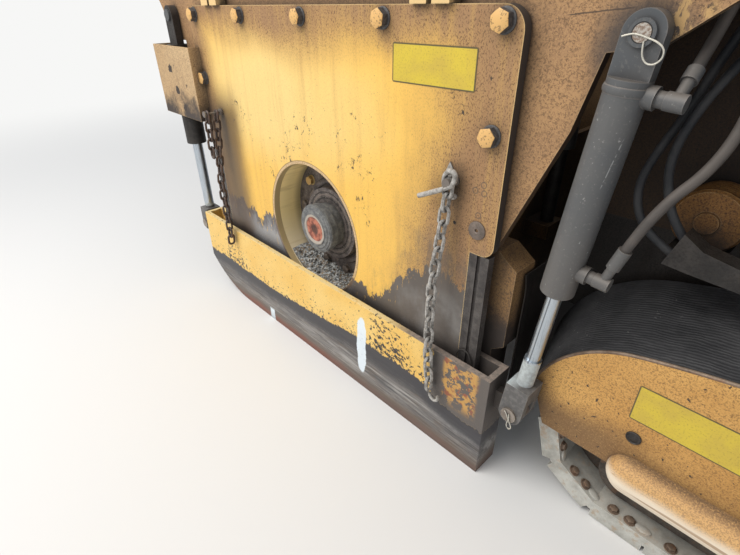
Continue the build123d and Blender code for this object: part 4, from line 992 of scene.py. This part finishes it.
def flange_bolts(head, which):
    """A function of the side, giving the bolts with a head of this height at some of the ring's places."""
    angle = np.radians(140.0 + 360.0 / FLANGE_BOLTS * np.arange(FLANGE_BOLTS))
    spots = [(FLANGE_RING * math.cos(a), FLANGE_DEPTH, DRUM_Z + FLANGE_RING * math.sin(a)) for a in angle]
    return lambda side: set_at(flanged_bolt(0.018, head, 0.024, 0.004), spots[which], side)


bright_bolt = dusty_metal("bright bolt paint", (0.44, 0.25, 0.07), (0.78, 0.50, 0.17), (0.60, 0.42, 0.20),
                          metallic=0.0)
add_pair("hub_face", lambda side: facing_out(worn_hub(), (0, 0.022, DRUM_Z), side), hub_steel, "drum", 28)
add_pair("flange_bolts", flange_bolts(0.016, slice(1, None)), flange_steel, "frame")
add_pair("bright_flange_bolt", flange_bolts(0.018, slice(0, 1)), bright_bolt, "frame")
add_pair("flange_collar", lambda side: facing_out(lathe(COLLAR_PROFILE, 72), (0, FLANGE_DEPTH, DRUM_Z), side),
         flange_paint, "frame")


def pebble(seed):
    """A stone of 20 faces: an icosahedron whose corners are moved in and out at random."""
    chance = np.random.default_rng(seed)
    work = bmesh.new()
    bmesh.ops.create_icosphere(work, subdivisions=1, radius=1.0)
    points = np.array([vertex.co for vertex in work.verts]) * chance.uniform(0.72, 1.15, (len(work.verts), 1))
    faces = [[vertex.index for vertex in face.verts] for face in work.faces]
    work.free()
    return points * np.array([1.0, 0.8, 0.62]), faces


def scattered(spots, sizes, seed):
    """Pebbles of the given sizes at the given points, each turned its own way."""
    chance = np.random.default_rng(seed)
    stones = [pebble(seed + number) for number in range(6)]
    parts = []
    for number, (spot, size) in enumerate(zip(spots, sizes)):
        angle, axis = chance.uniform(0, 6.28), Vector(chance.normal(size=3)).normalized()
        turn = np.array(Matrix.Rotation(angle, 3, axis))
        points, faces = stones[number % 6]
        parts.append(((points * size) @ turn + np.asarray(spot), faces))
    return gather(parts)


def gravel_finish():
    """Broken asphalt: every stone its own grey or brown by cells, with painted shade in the gaps between
    stones.
    """
    finish = Finish("broken asphalt")
    cells = finish.node("ShaderNodeTexVoronoi", "Color", {"Vector": finish.stretched(), "Scale": 120.0})
    split = finish.node("ShaderNodeSeparateColor", 0, {0: cells}).socket.node
    red, green = Field(finish, split.outputs[0]), Field(finish, split.outputs[1])
    finish.colour = red.step(0.2, 0.9).mix((0.16, 0.16, 0.155), (0.50, 0.515, 0.505))
    finish.over(green.step(0.70, 0.85), (0.26, 0.20, 0.14))
    # Painted shade between the stones.
    finish.over(finish.corners(0.02) * 0.55, (0.028, 0.024, 0.022))
    finish.bump(finish.noise(300, 3), 0.0008, 0.6)
    return finish.done(0.8, specular=0.3)


def heap_surface():
    """Heap on the sleeve's floor: top = floor circle + 50 mm * slope in depth * a bump along, and lumps."""
    along, depth = np.meshgrid(np.linspace(-0.225, 0.190, 44), np.linspace(0.034, 0.148, 14), indexing="ij")
    floor = DRUM_Z - np.sqrt(0.2905 ** 2 - along ** 2)
    shape = np.clip(1.0 - ((along + 0.035) / 0.20) ** 2, 0, None) ** 0.8
    rise = 0.050 * shape * (0.35 + 0.65 * (depth - 0.034) / (0.148 - 0.034))
    lumps = 0.006 * np.sin(61 * along + 3) * np.sin(83 * depth + 1) + 0.004 * np.sin(139 * along + 90 * depth)
    top = floor + np.clip(rise + lumps * shape, 0.0006, None)
    return np.stack([along, depth, top], axis=2), np.stack([along, depth, floor], axis=2)


def asphalt_heap(side):
    """The heap's surface with a few hundred pebbles lying on it."""
    upper, lower = heap_surface()
    chance = np.random.default_rng(5)
    flat = upper.reshape(-1, 3)
    picked = flat[chance.choice(len(flat), 330, replace=True)]
    picked = picked + chance.normal(0, 0.0025, (330, 3)) * (1, 1, 0)
    picked = picked[(np.abs(picked[:, 0]) < 0.205) & (picked[:, 1] < 0.144) & (picked[:, 1] > 0.038)]
    sizes = chance.uniform(0.0035, 0.0095, len(picked))
    picked[:, 2] += 0.3 * sizes
    heap = closed_sheet(on_side(upper, side), on_side(lower, side))
    return gather([heap, scattered(on_side(picked, side), sizes, 11)])


add_pair("asphalt_heap", asphalt_heap, gravel_finish(), "frame", 20)
print("asphalt heaps made")

# %% [markdown]
# The chains hang from hooks on the cover plate. A link is a stadium of round wire: its centreline is two
# straights joined by half circles, and a ring of the wire's radius is carried along it. Links sit a pitch
# apart on the chain's line and every second one is turned a quarter.

# %% Ski chains
LINK_PITCH, WIRE, LINK_STRAIGHT, LINK_BEND = 0.0430, 0.0060, 0.0120, 0.0155
chain_routes = (
    [(0.745, -0.030, 1.055), (0.743, -0.050, 0.880), (0.741, -0.074, 0.712), (0.745, -0.076, 0.445),
     (0.764, -0.076, 0.270)],
    [(-0.672, -0.030, 1.055), (-0.667, -0.043, 0.930), (-0.662, -0.058, 0.835), (-0.660, -0.074, 0.714),
     (-0.652, -0.076, 0.448), (-0.662, -0.076, 0.330)],
    [(-0.672, -0.076, 1.055), (-0.682, -0.077, 0.930), (-0.690, -0.076, 0.835)],
)
hook_route = [(0.640, -0.040, 0.985), (0.668, -0.040, 0.998), (0.705, -0.040, 1.016), (0.742, -0.041, 1.034),
              (0.768, -0.040, 1.052), (0.770, -0.036, 1.083), (0.744, -0.033, 1.088), (0.722, -0.028, 1.062),
              (0.724, -0.022, 1.020), (0.742, -0.018, 0.996), (0.762, -0.020, 1.010)]
hook_tip = [(0.712, 1.040), (0.733, 1.046), (0.738, 1.074), (0.722, 1.100), (0.709, 1.072)]
round_hook = [(0.786 + 0.019 * math.cos(a), -0.076, 0.262 + 0.019 * math.sin(a))
              for a in np.radians(np.arange(165, 415, 25))]
hoop_route = [(0.815, -0.006, 0.436), (0.822, -0.006, 0.462), (0.845, -0.006, 0.476), (0.868, -0.006, 0.466),
              (0.878, -0.006, 0.436)]


def link_mesh(around=20, wire_sides=6):
    """A ring of wire on a stadium: x = +-straight + bend cos a, y = bend sin a, with a circle round it."""
    angle = full_turn(around) + math.pi / around
    outward = np.stack([np.cos(angle), np.sin(angle), 0 * angle], axis=1)
    centre = LINK_BEND * outward + np.sign(outward * (1, 0, 0)) * LINK_STRAIGHT
    turn = full_turn(wire_sides)[None, :, None]
    ring = WIRE * (np.cos(turn) * outward[:, None, :] + np.sin(turn) * np.array([0, 0, 1.0]))
    return (centre[:, None, :] + ring).reshape(-1, 3), grid_faces(around, wire_sides, True, True)


def chain_shape(route, side):
    """Links from joint to joint along a route of straight runs, every second one turned a quarter."""
    line = on_side(route, side)
    steps = np.concatenate([[0], np.cumsum(np.linalg.norm(np.diff(line, axis=0), axis=1))])
    count = int(steps[-1] / LINK_PITCH)
    at = LINK_PITCH * np.arange(count + 1)
    joints = np.stack([np.interp(at, steps, line[:, k]) for k in range(3)], axis=1)
    shape, parts = link_mesh(), []
    for number, (start, end) in enumerate(zip(joints[:-1], joints[1:])):
        way = (end - start) / np.linalg.norm(end - start)
        across = np.cross(way, (0, 1, 0))
        across /= np.linalg.norm(across)
        facing = across if number % 2 else np.cross(across, way)
        tip = math.radians(6.0 * math.sin(5.1 * number + 0.7))
        facing = facing * math.cos(tip) + np.cross(way, facing) * math.sin(tip)
        turn = np.array([way, np.cross(facing, way), facing])
        parts.append((shape[0] @ turn + (start + end) / 2, shape[1]))
    return gather(parts)


def wire(name, route, radius, material, body, segments=8):
    """A bent wire of round section along a smooth route, one on each side."""
    def make(side):
        return tube(smooth_line(on_side(route, side), 6), radius, segments)
    add_pair(name, make, material, body, 40)


ski_chains = add_pair("ski_chains", lambda side: gather([chain_shape(route, side) for route in chain_routes]),
                      chain_steel, "frame", 50)
for chains in ski_chains:
    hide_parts("hook_chains")
wire("hook_wire", hook_route, 0.0080, chain_steel, "frame", 10)
hook_plate = [(along, depth, height) for depth in (-0.004, 0.002) for along, height in hook_tip]
add_pair("hook_plate", lambda side: prism(on_side(hook_plate, side)), chain_steel, "frame")
wire("chain_hook", round_hook, 0.0058, chain_steel, "frame")
wire("ski_hoop", hoop_route, 0.0025, dark_steel, "ski_{}")
print("chains hung")

# %% [markdown]
# Small things finish the cover and the fender: a round plug on each, and two plain faded yellow plates with
# a thin dark border.

# %% Plug and blank plates
COVER_PLATE = (0.6305, 1.347, 0.0, 0.299, 0.106)  # along, height, depth, length, width
FENDER_PLATE = (1.520, 0.555, 0.068, 0.330, 0.120)
COVER_PLUG = [(0.0, -0.001), (0.005, -0.001), (0.0055, 0.003), (0.0075, 0.0045), (0.025, 0.0045),
              (0.0285, 0.003), (0.0290, -0.002)]
FENDER_PLUG = [(0.0, 0.004), (0.010, 0.0036), (0.0125, 0.002), (0.0165, 0.002), (0.0185, 0.0045),
               (0.0205, 0.003), (0.0210, -0.002)]


def blank_finish():
    """Faded yellow with a dark border that starts a few millimetres inside each plate's edge."""
    finish = Finish("faded blank plate")
    along, depth, height = finish.places()
    fine = finish.noise(190, 3, 0.7)
    finish.colour = finish.noise(14, 5).step(0.35, 0.7).mix((0.66, 0.50, 0.060), (0.58, 0.42, 0.070))
    finish.over(fine.step(0.52, 0.68, 0.0, 0.5), (0.30, 0.19, 0.05))
    upper = abs(height - 1.347).step(0.0485, 0.0500) | abs(along - 0.6305).step(0.1450, 0.1465)
    lower = abs(height - 0.555).step(0.0560, 0.0575) | abs(along - 1.520).step(0.1610, 0.1625)
    border = upper * along.step(1.0, 0.9) | lower * along.step(1.0, 1.1)
    finish.over(border * 0.85, (0.045, 0.045, 0.048))
    finish.bump(fine, 0.0003, 0.4)
    return finish.done(0.42, specular=0.25)


def thin_plate(along, height, depth, length, width, thick=0.0008, corner=0.006):
    """A function of the side, giving a flat plate with quarter circles at its corners."""
    angle = full_turn(32) + math.pi / 32
    x = along + np.sign(np.cos(angle)) * (length / 2 - corner) + corner * np.cos(angle)
    z = height + np.sign(np.sin(angle)) * (width / 2 - corner) + corner * np.sin(angle)
    outline = [(a, d, h) for d in (depth - thick, depth + 0.001) for a, h in zip(x, z)]
    return lambda side: prism(on_side(outline, side))


blank_plate = blank_finish()
add_pair("cover_blank_plate", thin_plate(*COVER_PLATE), blank_plate, "frame")
add_pair("fender_blank_plate", thin_plate(*FENDER_PLATE), blank_plate, "crawler_{}")
add_pair("cover_plug", lambda side: facing_out(lathe(COVER_PLUG, 40), (0.837, 0.0, 0.918), side),
         flange_steel, "frame")
add_pair("fender_plug", lambda side: facing_out(lathe(FENDER_PLUG, 36), (1.385, 0.068, 0.434), side),
         dark_steel, "crawler_{}")
print("plates and plugs placed")

# %% [markdown]
# The lift cylinder has a weld ring below its head, a gland ring at its lower end, and pins held by sprung
# wire clips. Rings are profiles spun round the cylinder's own slanted axis.

# %% Cylinder details
WELD_RING = [(0.0450, 0.0), (0.0475, 0.002), (0.0490, 0.008), (0.0480, 0.015), (0.0455, 0.019), (0.0450, 0.0)]
GLAND_RING = [(0.0450, 0.0), (0.0450, 0.003), (0.0410, 0.007), (0.0290, 0.007), (0.0290, 0.0), (0.0450, 0.0)]
top_clip = [
    (1.120, -0.0125, 1.437), (1.136, -0.0128, 1.443), (1.153, -0.0128, 1.441), (1.169, -0.0128, 1.436),
    (1.188, -0.0126, 1.430), (1.203, -0.0120, 1.419), (1.204, -0.0110, 1.402), (1.192, -0.0110, 1.390),
    (1.177, -0.0115, 1.391), (1.167, -0.0125, 1.403), (1.164, -0.0128, 1.418), (1.163, -0.0128, 1.430)]
hairpin = [(1.046, -0.0400, 0.362), (1.056, -0.0405, 0.350), (1.062, -0.0400, 0.336), (1.072, -0.0390, 0.318),
           (1.078, -0.0385, 0.302), (1.070, -0.0380, 0.292), (1.060, -0.0380, 0.300), (1.060, -0.0385, 0.318),
           (1.066, -0.0395, 0.338), (1.062, -0.0400, 0.356)]


def on_cylinder(profile, distance):
    """A function of the side, giving a ring round the cylinder's axis, so far down from its top pin."""
    def make(side):
        top, bottom = place(*CYLINDER_TOP, side=side), place(*CYLINDER_BOTTOM, side=side)
        down = (bottom - top).normalized()
        points, faces = lathe(profile, 48)
        return aim(points, top + down * distance, down, up=(0, 1, 0)), faces
    return make


clip_steel = dusty_metal("clip wire", (0.34, 0.32, 0.28), (0.58, 0.55, 0.48), (0.42, 0.36, 0.28),
                         metallic=0.4, dust_amount=0.3)
add_pair("barrel_weld_ring", on_cylinder(WELD_RING, 0.096), cylinder_grey, "lift_barrel_{}")
add_pair("barrel_gland", on_cylinder(GLAND_RING, 0.6215), cylinder_grey, "lift_barrel_{}")
wire("top_pin_clip", top_clip, 0.0018, clip_steel, "frame")
wire("ski_pin_clip", hairpin, 0.0020, clip_steel, "ski_{}")
print("cylinder rings and clips placed")

# %% [markdown]
# A rolled bead stiffens the fender's top edge. The edge is made of arcs through known points, so the bead is
# a tube carried along those arcs. Each track shoe is held by hexagon bolts and has two raised oval bosses.

# %% Fender bead, shoe bolts and bosses
TRACK_RADIUS, SHOE_THICK, LINK_HEIGHT, WHEEL_SPAN, SHOES = 0.280, 0.030, 0.036, 0.990, 20
PIN_RADIUS = TRACK_RADIUS - SHOE_THICK - LINK_HEIGHT / 2
BEND = math.pi * PIN_RADIUS
LOOP_LENGTH = 2 * (WHEEL_SPAN + BEND)


def arc_through(first, middle, last, count):
    """Points on the circle through three points, from the first past the middle to the last."""
    a, b, c = (complex(*point) for point in (first, middle, last))
    w = (c - a) / (b - a)
    centre = (b - a) * (w - abs(w) ** 2) / (2j * w.imag) + a
    start, half, end = (np.angle(point - centre) for point in (a, b, c))
    sweep = (end - start) % (2 * math.pi)
    if (half - start) % (2 * math.pi) > sweep:
        sweep -= 2 * math.pi
    points = centre + abs(a - centre) * np.exp(1j * (start + np.linspace(0, sweep, count)))
    return np.stack([points.real, points.imag], axis=1)


def fender_bead(side):
    """A tube along the fender's edge: nose arc, crown arc, and the nose mirrored at the tail."""
    nose = arc_through((1.075, 0.440), (1.163, 0.597), (1.323, 0.690), 16)
    crown = arc_through((1.323, 0.690), (CRAWLER_ALONG, 0.760), (2 * CRAWLER_ALONG - 1.323, 0.690), 48)
    tail = np.stack([2 * CRAWLER_ALONG - nose[::-1, 0], nose[::-1, 1]], axis=1)
    edge = np.concatenate([nose, crown[1:], tail[1:]])
    return tube(on_side([(a, 0.0725, h + 0.001) for a, h in edge], side), 0.0055, 10)


def loop_point(distance):
    """A point on the track's pin line: two straights and two half circles, measured from the middle."""
    distance = distance % LOOP_LENGTH
    upper = distance >= WHEEL_SPAN + BEND
    run = distance - upper * (WHEEL_SPAN + BEND)
    turn = max(run - WHEEL_SPAN, 0.0) / PIN_RADIUS
    point = np.array([WHEEL_SPAN / 2 - min(run, WHEEL_SPAN) - PIN_RADIUS * math.sin(turn),
                      -PIN_RADIUS * math.cos(turn)])
    return -point if upper else point


def shoe_spots(first, last):
    """(kind, offset outward, step along, depth) of a shoe's bolts and bosses. Those on the outer face are
    left out where a shoe stands on the ground."""
    spots = [(kind, -LINK_HEIGHT / 2, step, depth) for depth in (0.112, 0.364)
             for kind, step in (("bolt", -0.026), ("bolt", 0.026), ("boss", -0.066))]
    run = (last - first) / np.linalg.norm(last - first)
    outer = LINK_HEIGHT / 2 + SHOE_THICK
    if (first + last)[1] / 2 + run[0] * outer + TRACK_RADIUS > 0.02:
        spots += [("bolt", outer, step, depth) for depth in (0.165, 0.311) for step in (-0.03, 0.03)]
    return run, spots


def shoe_fittings(kind, shape):
    """A function of the side, giving every bolt or boss on the track's shoes."""
    def make(side):
        ends = [loop_point(number * LOOP_LENGTH / SHOES) for number in range(SHOES + 1)]
        parts = []
        for first, last in zip(ends[:-1], ends[1:]):
            run, spots = shoe_spots(first, last)
            outward = np.array([-run[1], run[0]])
            for _, offset, step, depth in [spot for spot in spots if spot[0] == kind]:
                x, z = (first + last) / 2 + outward * offset + run * step
                way = outward * math.copysign(1.0, offset)
                spot = place(CRAWLER_ALONG + x, depth, TRACK_RADIUS + z, side)
                parts.append((aim(shape[0], spot, (way[0], 0, way[1]), up=(0, 1, 0)), shape[1]))
        return gather(parts)
    return make


rust_steel = dusty_metal("rusty bolt steel", (0.10, 0.062, 0.042), (0.25, 0.17, 0.12), (0.32, 0.25, 0.18),
                         rust=(0.20, 0.095, 0.05))
washer = lathe([(0.0, 0.0), (0.0185, 0.0), (0.0175, 0.0025), (0.0, 0.0025)], 18)
bolt = gather([washer, hexagon(0.0115, 0.012)])
boss_points, boss_faces = lathe([(0.014, 0.0), (0.0135, 0.004), (0.010, 0.006), (0.0, 0.0065)], 20)
boss = (boss_points * np.array([1.7, 1.0, 1.0]), boss_faces)
add_pair("fender_bead", fender_bead, rust_steel, "crawler_{}", 40)
add_pair("shoe_bolts", shoe_fittings("bolt", bolt), rust_steel, "crawler_{}")
add_pair("shoe_bosses", shoe_fittings("boss", boss), shoe_steel, "crawler_{}")
print("track fittings placed on", SHOES, "shoes a side")

# %% [markdown]
# Between the housing and the crawlers the photograph shows only black. A near-black pressed sheet hangs there
# from the chassis box as painted shade. It is one sheet: straight across, with upright swages that stand out
# by a smooth step, and a skirt runs back from it along each side of the box.

# %% Shade sheet and filter housing
PLATE_X, SKIRT_Y, SKIRT_END, SHEET_TOP = DRUM_X + 0.957, 0.763, 1.960, 0.8985
FILTER_SPOT, FILTER_RADIUS = (1.322, 0.424, 1.000), 0.0865


def pressed_sheet(start, end, low, wing, proud, thick=0.004):
    """A sheet from start to end in plan: run + proud * 9 mm of smooth swages, wing high beyond the box."""
    start, end, proud = (np.array([*point, 0.0]) for point in (start, end, proud))
    length = np.linalg.norm(end - start)
    s = np.linspace(0, length, int(length / 0.0125) + 1)
    run = start + s[:, None] / length * (end - start)
    top = np.where(np.abs(run[:, 1]) > 0.772, wing, SHEET_TOP)[:, None]
    swage = np.clip(1.6 * np.cos(2 * math.pi * (s - length / 2) / 0.275) - 0.5, 0, 1)
    height = low + np.linspace(0, 1, 18) * (top - low)
    faded = np.clip(np.minimum(height - low, top - height) / 0.05, 0, 1)
    front = run[:, None, :] + (0.009 * swage[:, None] * faded)[:, :, None] * proud
    front[:, :, 2] = height
    return closed_sheet(front, front - thick * proud)


def saddle_shelf(side, low=0.906, thick=0.006):
    """A shelf under the filter housing, curling up at both ends 0.6 times as the housing does."""
    along, depth = np.meshgrid(np.linspace(1.262, 1.392, 15), np.linspace(0.249, 0.428, 4), indexing="ij")
    circle = FILTER_RADIUS - np.sqrt(FILTER_RADIUS ** 2 - (along - FILTER_SPOT[0]) ** 2)
    upper = on_side(np.stack([along, depth, low + thick + 0.6 * circle], axis=2), side)
    return closed_sheet(upper, upper - np.array([0, 0, thick]))


# Painted shade: a near-black sheet stands where there is only shade under the machine.
shade_sheet_paint = grainy_finish("near black shade sheet", (0.012, 0.010, 0.009), (0.030, 0.024, 0.020),
                             (0.006, 0.005, 0.005), chips=0.2, rim=(0.05, 0.04, 0.03))
canister_paint = grainy_finish("brown filter paint", (0.21, 0.095, 0.026), (0.30, 0.145, 0.040),
                               (0.05, 0.025, 0.012), chips=0.8, corner_shade_amount=0.9)
sheets = [pressed_sheet((PLATE_X, -1.10), (PLATE_X, 1.10), 0.150, 0.765, (1, 0))]
for side, word in SIDES:
    ends = (PLATE_X + 0.008, side * SKIRT_Y), (SKIRT_END, side * SKIRT_Y)
    sheets.append(pressed_sheet(*ends, 0.520, SHEET_TOP, (0, side)))
add_piece("painted_shade_sheet", gather(sheets), shade_sheet_paint, "frame", 50)
FILTER_PROFILE = [(0.070, 0.0), (0.083, 0.003), (0.086, 0.010)]
FILTER_PROFILE += [(0.086 - 0.0022 * (k % 2), 0.016 + 0.0075 * k) for k in range(11)]
FILTER_PROFILE += [(0.086, 0.104), (0.080, 0.112), (0.030, 0.117), (0.028, 0.124), (0.0, 0.124)]
add_pair("filter_housing", lambda side: facing_out(lathe(FILTER_PROFILE, 48), FILTER_SPOT, side),
         canister_paint, "crawler_{}", 30)
add_pair("filter_shelf", saddle_shelf, dark_steel, "crawler_{}", 30)
print("shade sheet and filter housings placed")

# %% [markdown]
# The camera stands where the photographer stood, a step from the crawler with the lens at chest height,
# and looks down and forward along the side. Its height, turn and tilt were worked out from edges whose
# real lengths are known.

# %% The camera
CAMERA_SPOT = (1.5233, -1.0731, 1.5)
CAMERA_TURN, CAMERA_TILT, CAMERA_ROLL = (math.radians(angle) for angle in (47.03, 30.92, -0.68))
FOCAL_PIXELS, IMAGE_WIDTH = 459.9, 740

camera_data = bpy.data.cameras.new("photographer")
camera_data.sensor_width = 36.0
camera_data.lens = FOCAL_PIXELS / IMAGE_WIDTH * camera_data.sensor_width
camera_data.clip_start, camera_data.clip_end = 0.02, 200.0
camera = link_object("photographer", camera_data)
camera.matrix_world = (
    Matrix.Translation(place(*CAMERA_SPOT))
    @ Matrix.Rotation(CAMERA_TURN, 4, "Z")
    @ Matrix.Rotation(math.pi / 2 - CAMERA_TILT, 4, "X")
    @ Matrix.Rotation(CAMERA_ROLL, 4, "Z")
)
bpy.context.scene.camera = camera
print("lens", round(camera_data.lens, 2), "mm")

# %% [markdown]
# The machine stands on a plain pale floor under soft light: a broad lamp above, a weaker one from the far
# side behind the crawlers, and a pale world that fills the shade and is near white to the camera.

# %% Floor, lamps and world
BACKDROP, SKY = (0.93, 0.93, 0.92), (0.86, 0.90, 0.96)


def stage_floor(size=60.0):
    """A pale plane that fades into the backdrop 3 to 9 m away, to the camera only."""
    corners = [(-size, -size, 0), (size, -size, 0), (size, size, 0), (-size, size, 0)]
    floor = link_object("floor", mesh_from("floor", corners, [(0, 1, 2, 3)]))
    finish = Finish("pale floor")
    finish.colour = (0.78, 0.775, 0.76)
    wear(floor, finish.done(0.9, specular=0.1))
    far = finish.distance((0, 0, 0)).step(3.0, 9.0) * finish.node("ShaderNodeLightPath", "Is Camera Ray")
    glow = finish.node("ShaderNodeEmission", 0, {"Color": BACKDROP})
    paint = Field(finish, finish.shader.outputs[0])
    finish.feed(finish.tree.nodes["Material Output"].inputs["Surface"],
                finish.node("ShaderNodeMixShader", 0, {0: far, 1: paint, 2: glow}))


def lamp(name, at, toward, energy, size, colour=(1, 1, 1)):
    """A round soft lamp at one point, turned toward another."""
    data = bpy.data.lights.new(name, "AREA")
    data.energy, data.color, data.shape, data.size = energy, colour, "DISK", size
    obj = link_object(name, data)
    obj.location = at
    obj.rotation_euler = (Vector(toward) - Vector(at)).to_track_quat("-Z", "Y").to_euler()


stage_floor()
lamp("soft sky lamp", (-2.0, -4.5, 5.5), (0, -1.0, 0.7), 345, 5.0, (1.0, 0.97, 0.93))
lamp("weak fill lamp", (4.5, 3.0, 4.0), (0.5, 0, 0.8), 120, 4.0)
world = bpy.data.worlds.new("pale sky")
bpy.context.scene.world = world
world.use_nodes = True
air = Shading(world.node_tree)
seen = air.node("ShaderNodeLightPath", "Is Camera Ray")
for ray in ("Is Transmission Ray", "Is Glossy Ray"):
    seen |= air.node("ShaderNodeLightPath", ray)
sky = air.node("ShaderNodeBackground", 0, {"Color": SKY, "Strength": 0.66})
backdrop = air.node("ShaderNodeBackground", 0, {"Color": BACKDROP, "Strength": 1.0})
air.feed(world.node_tree.nodes["World Output"].inputs["Surface"],
         air.node("ShaderNodeMixShader", 0, {0: seen, 1: sky, 2: backdrop}))
bpy.context.scene.view_settings.view_transform = "Standard"
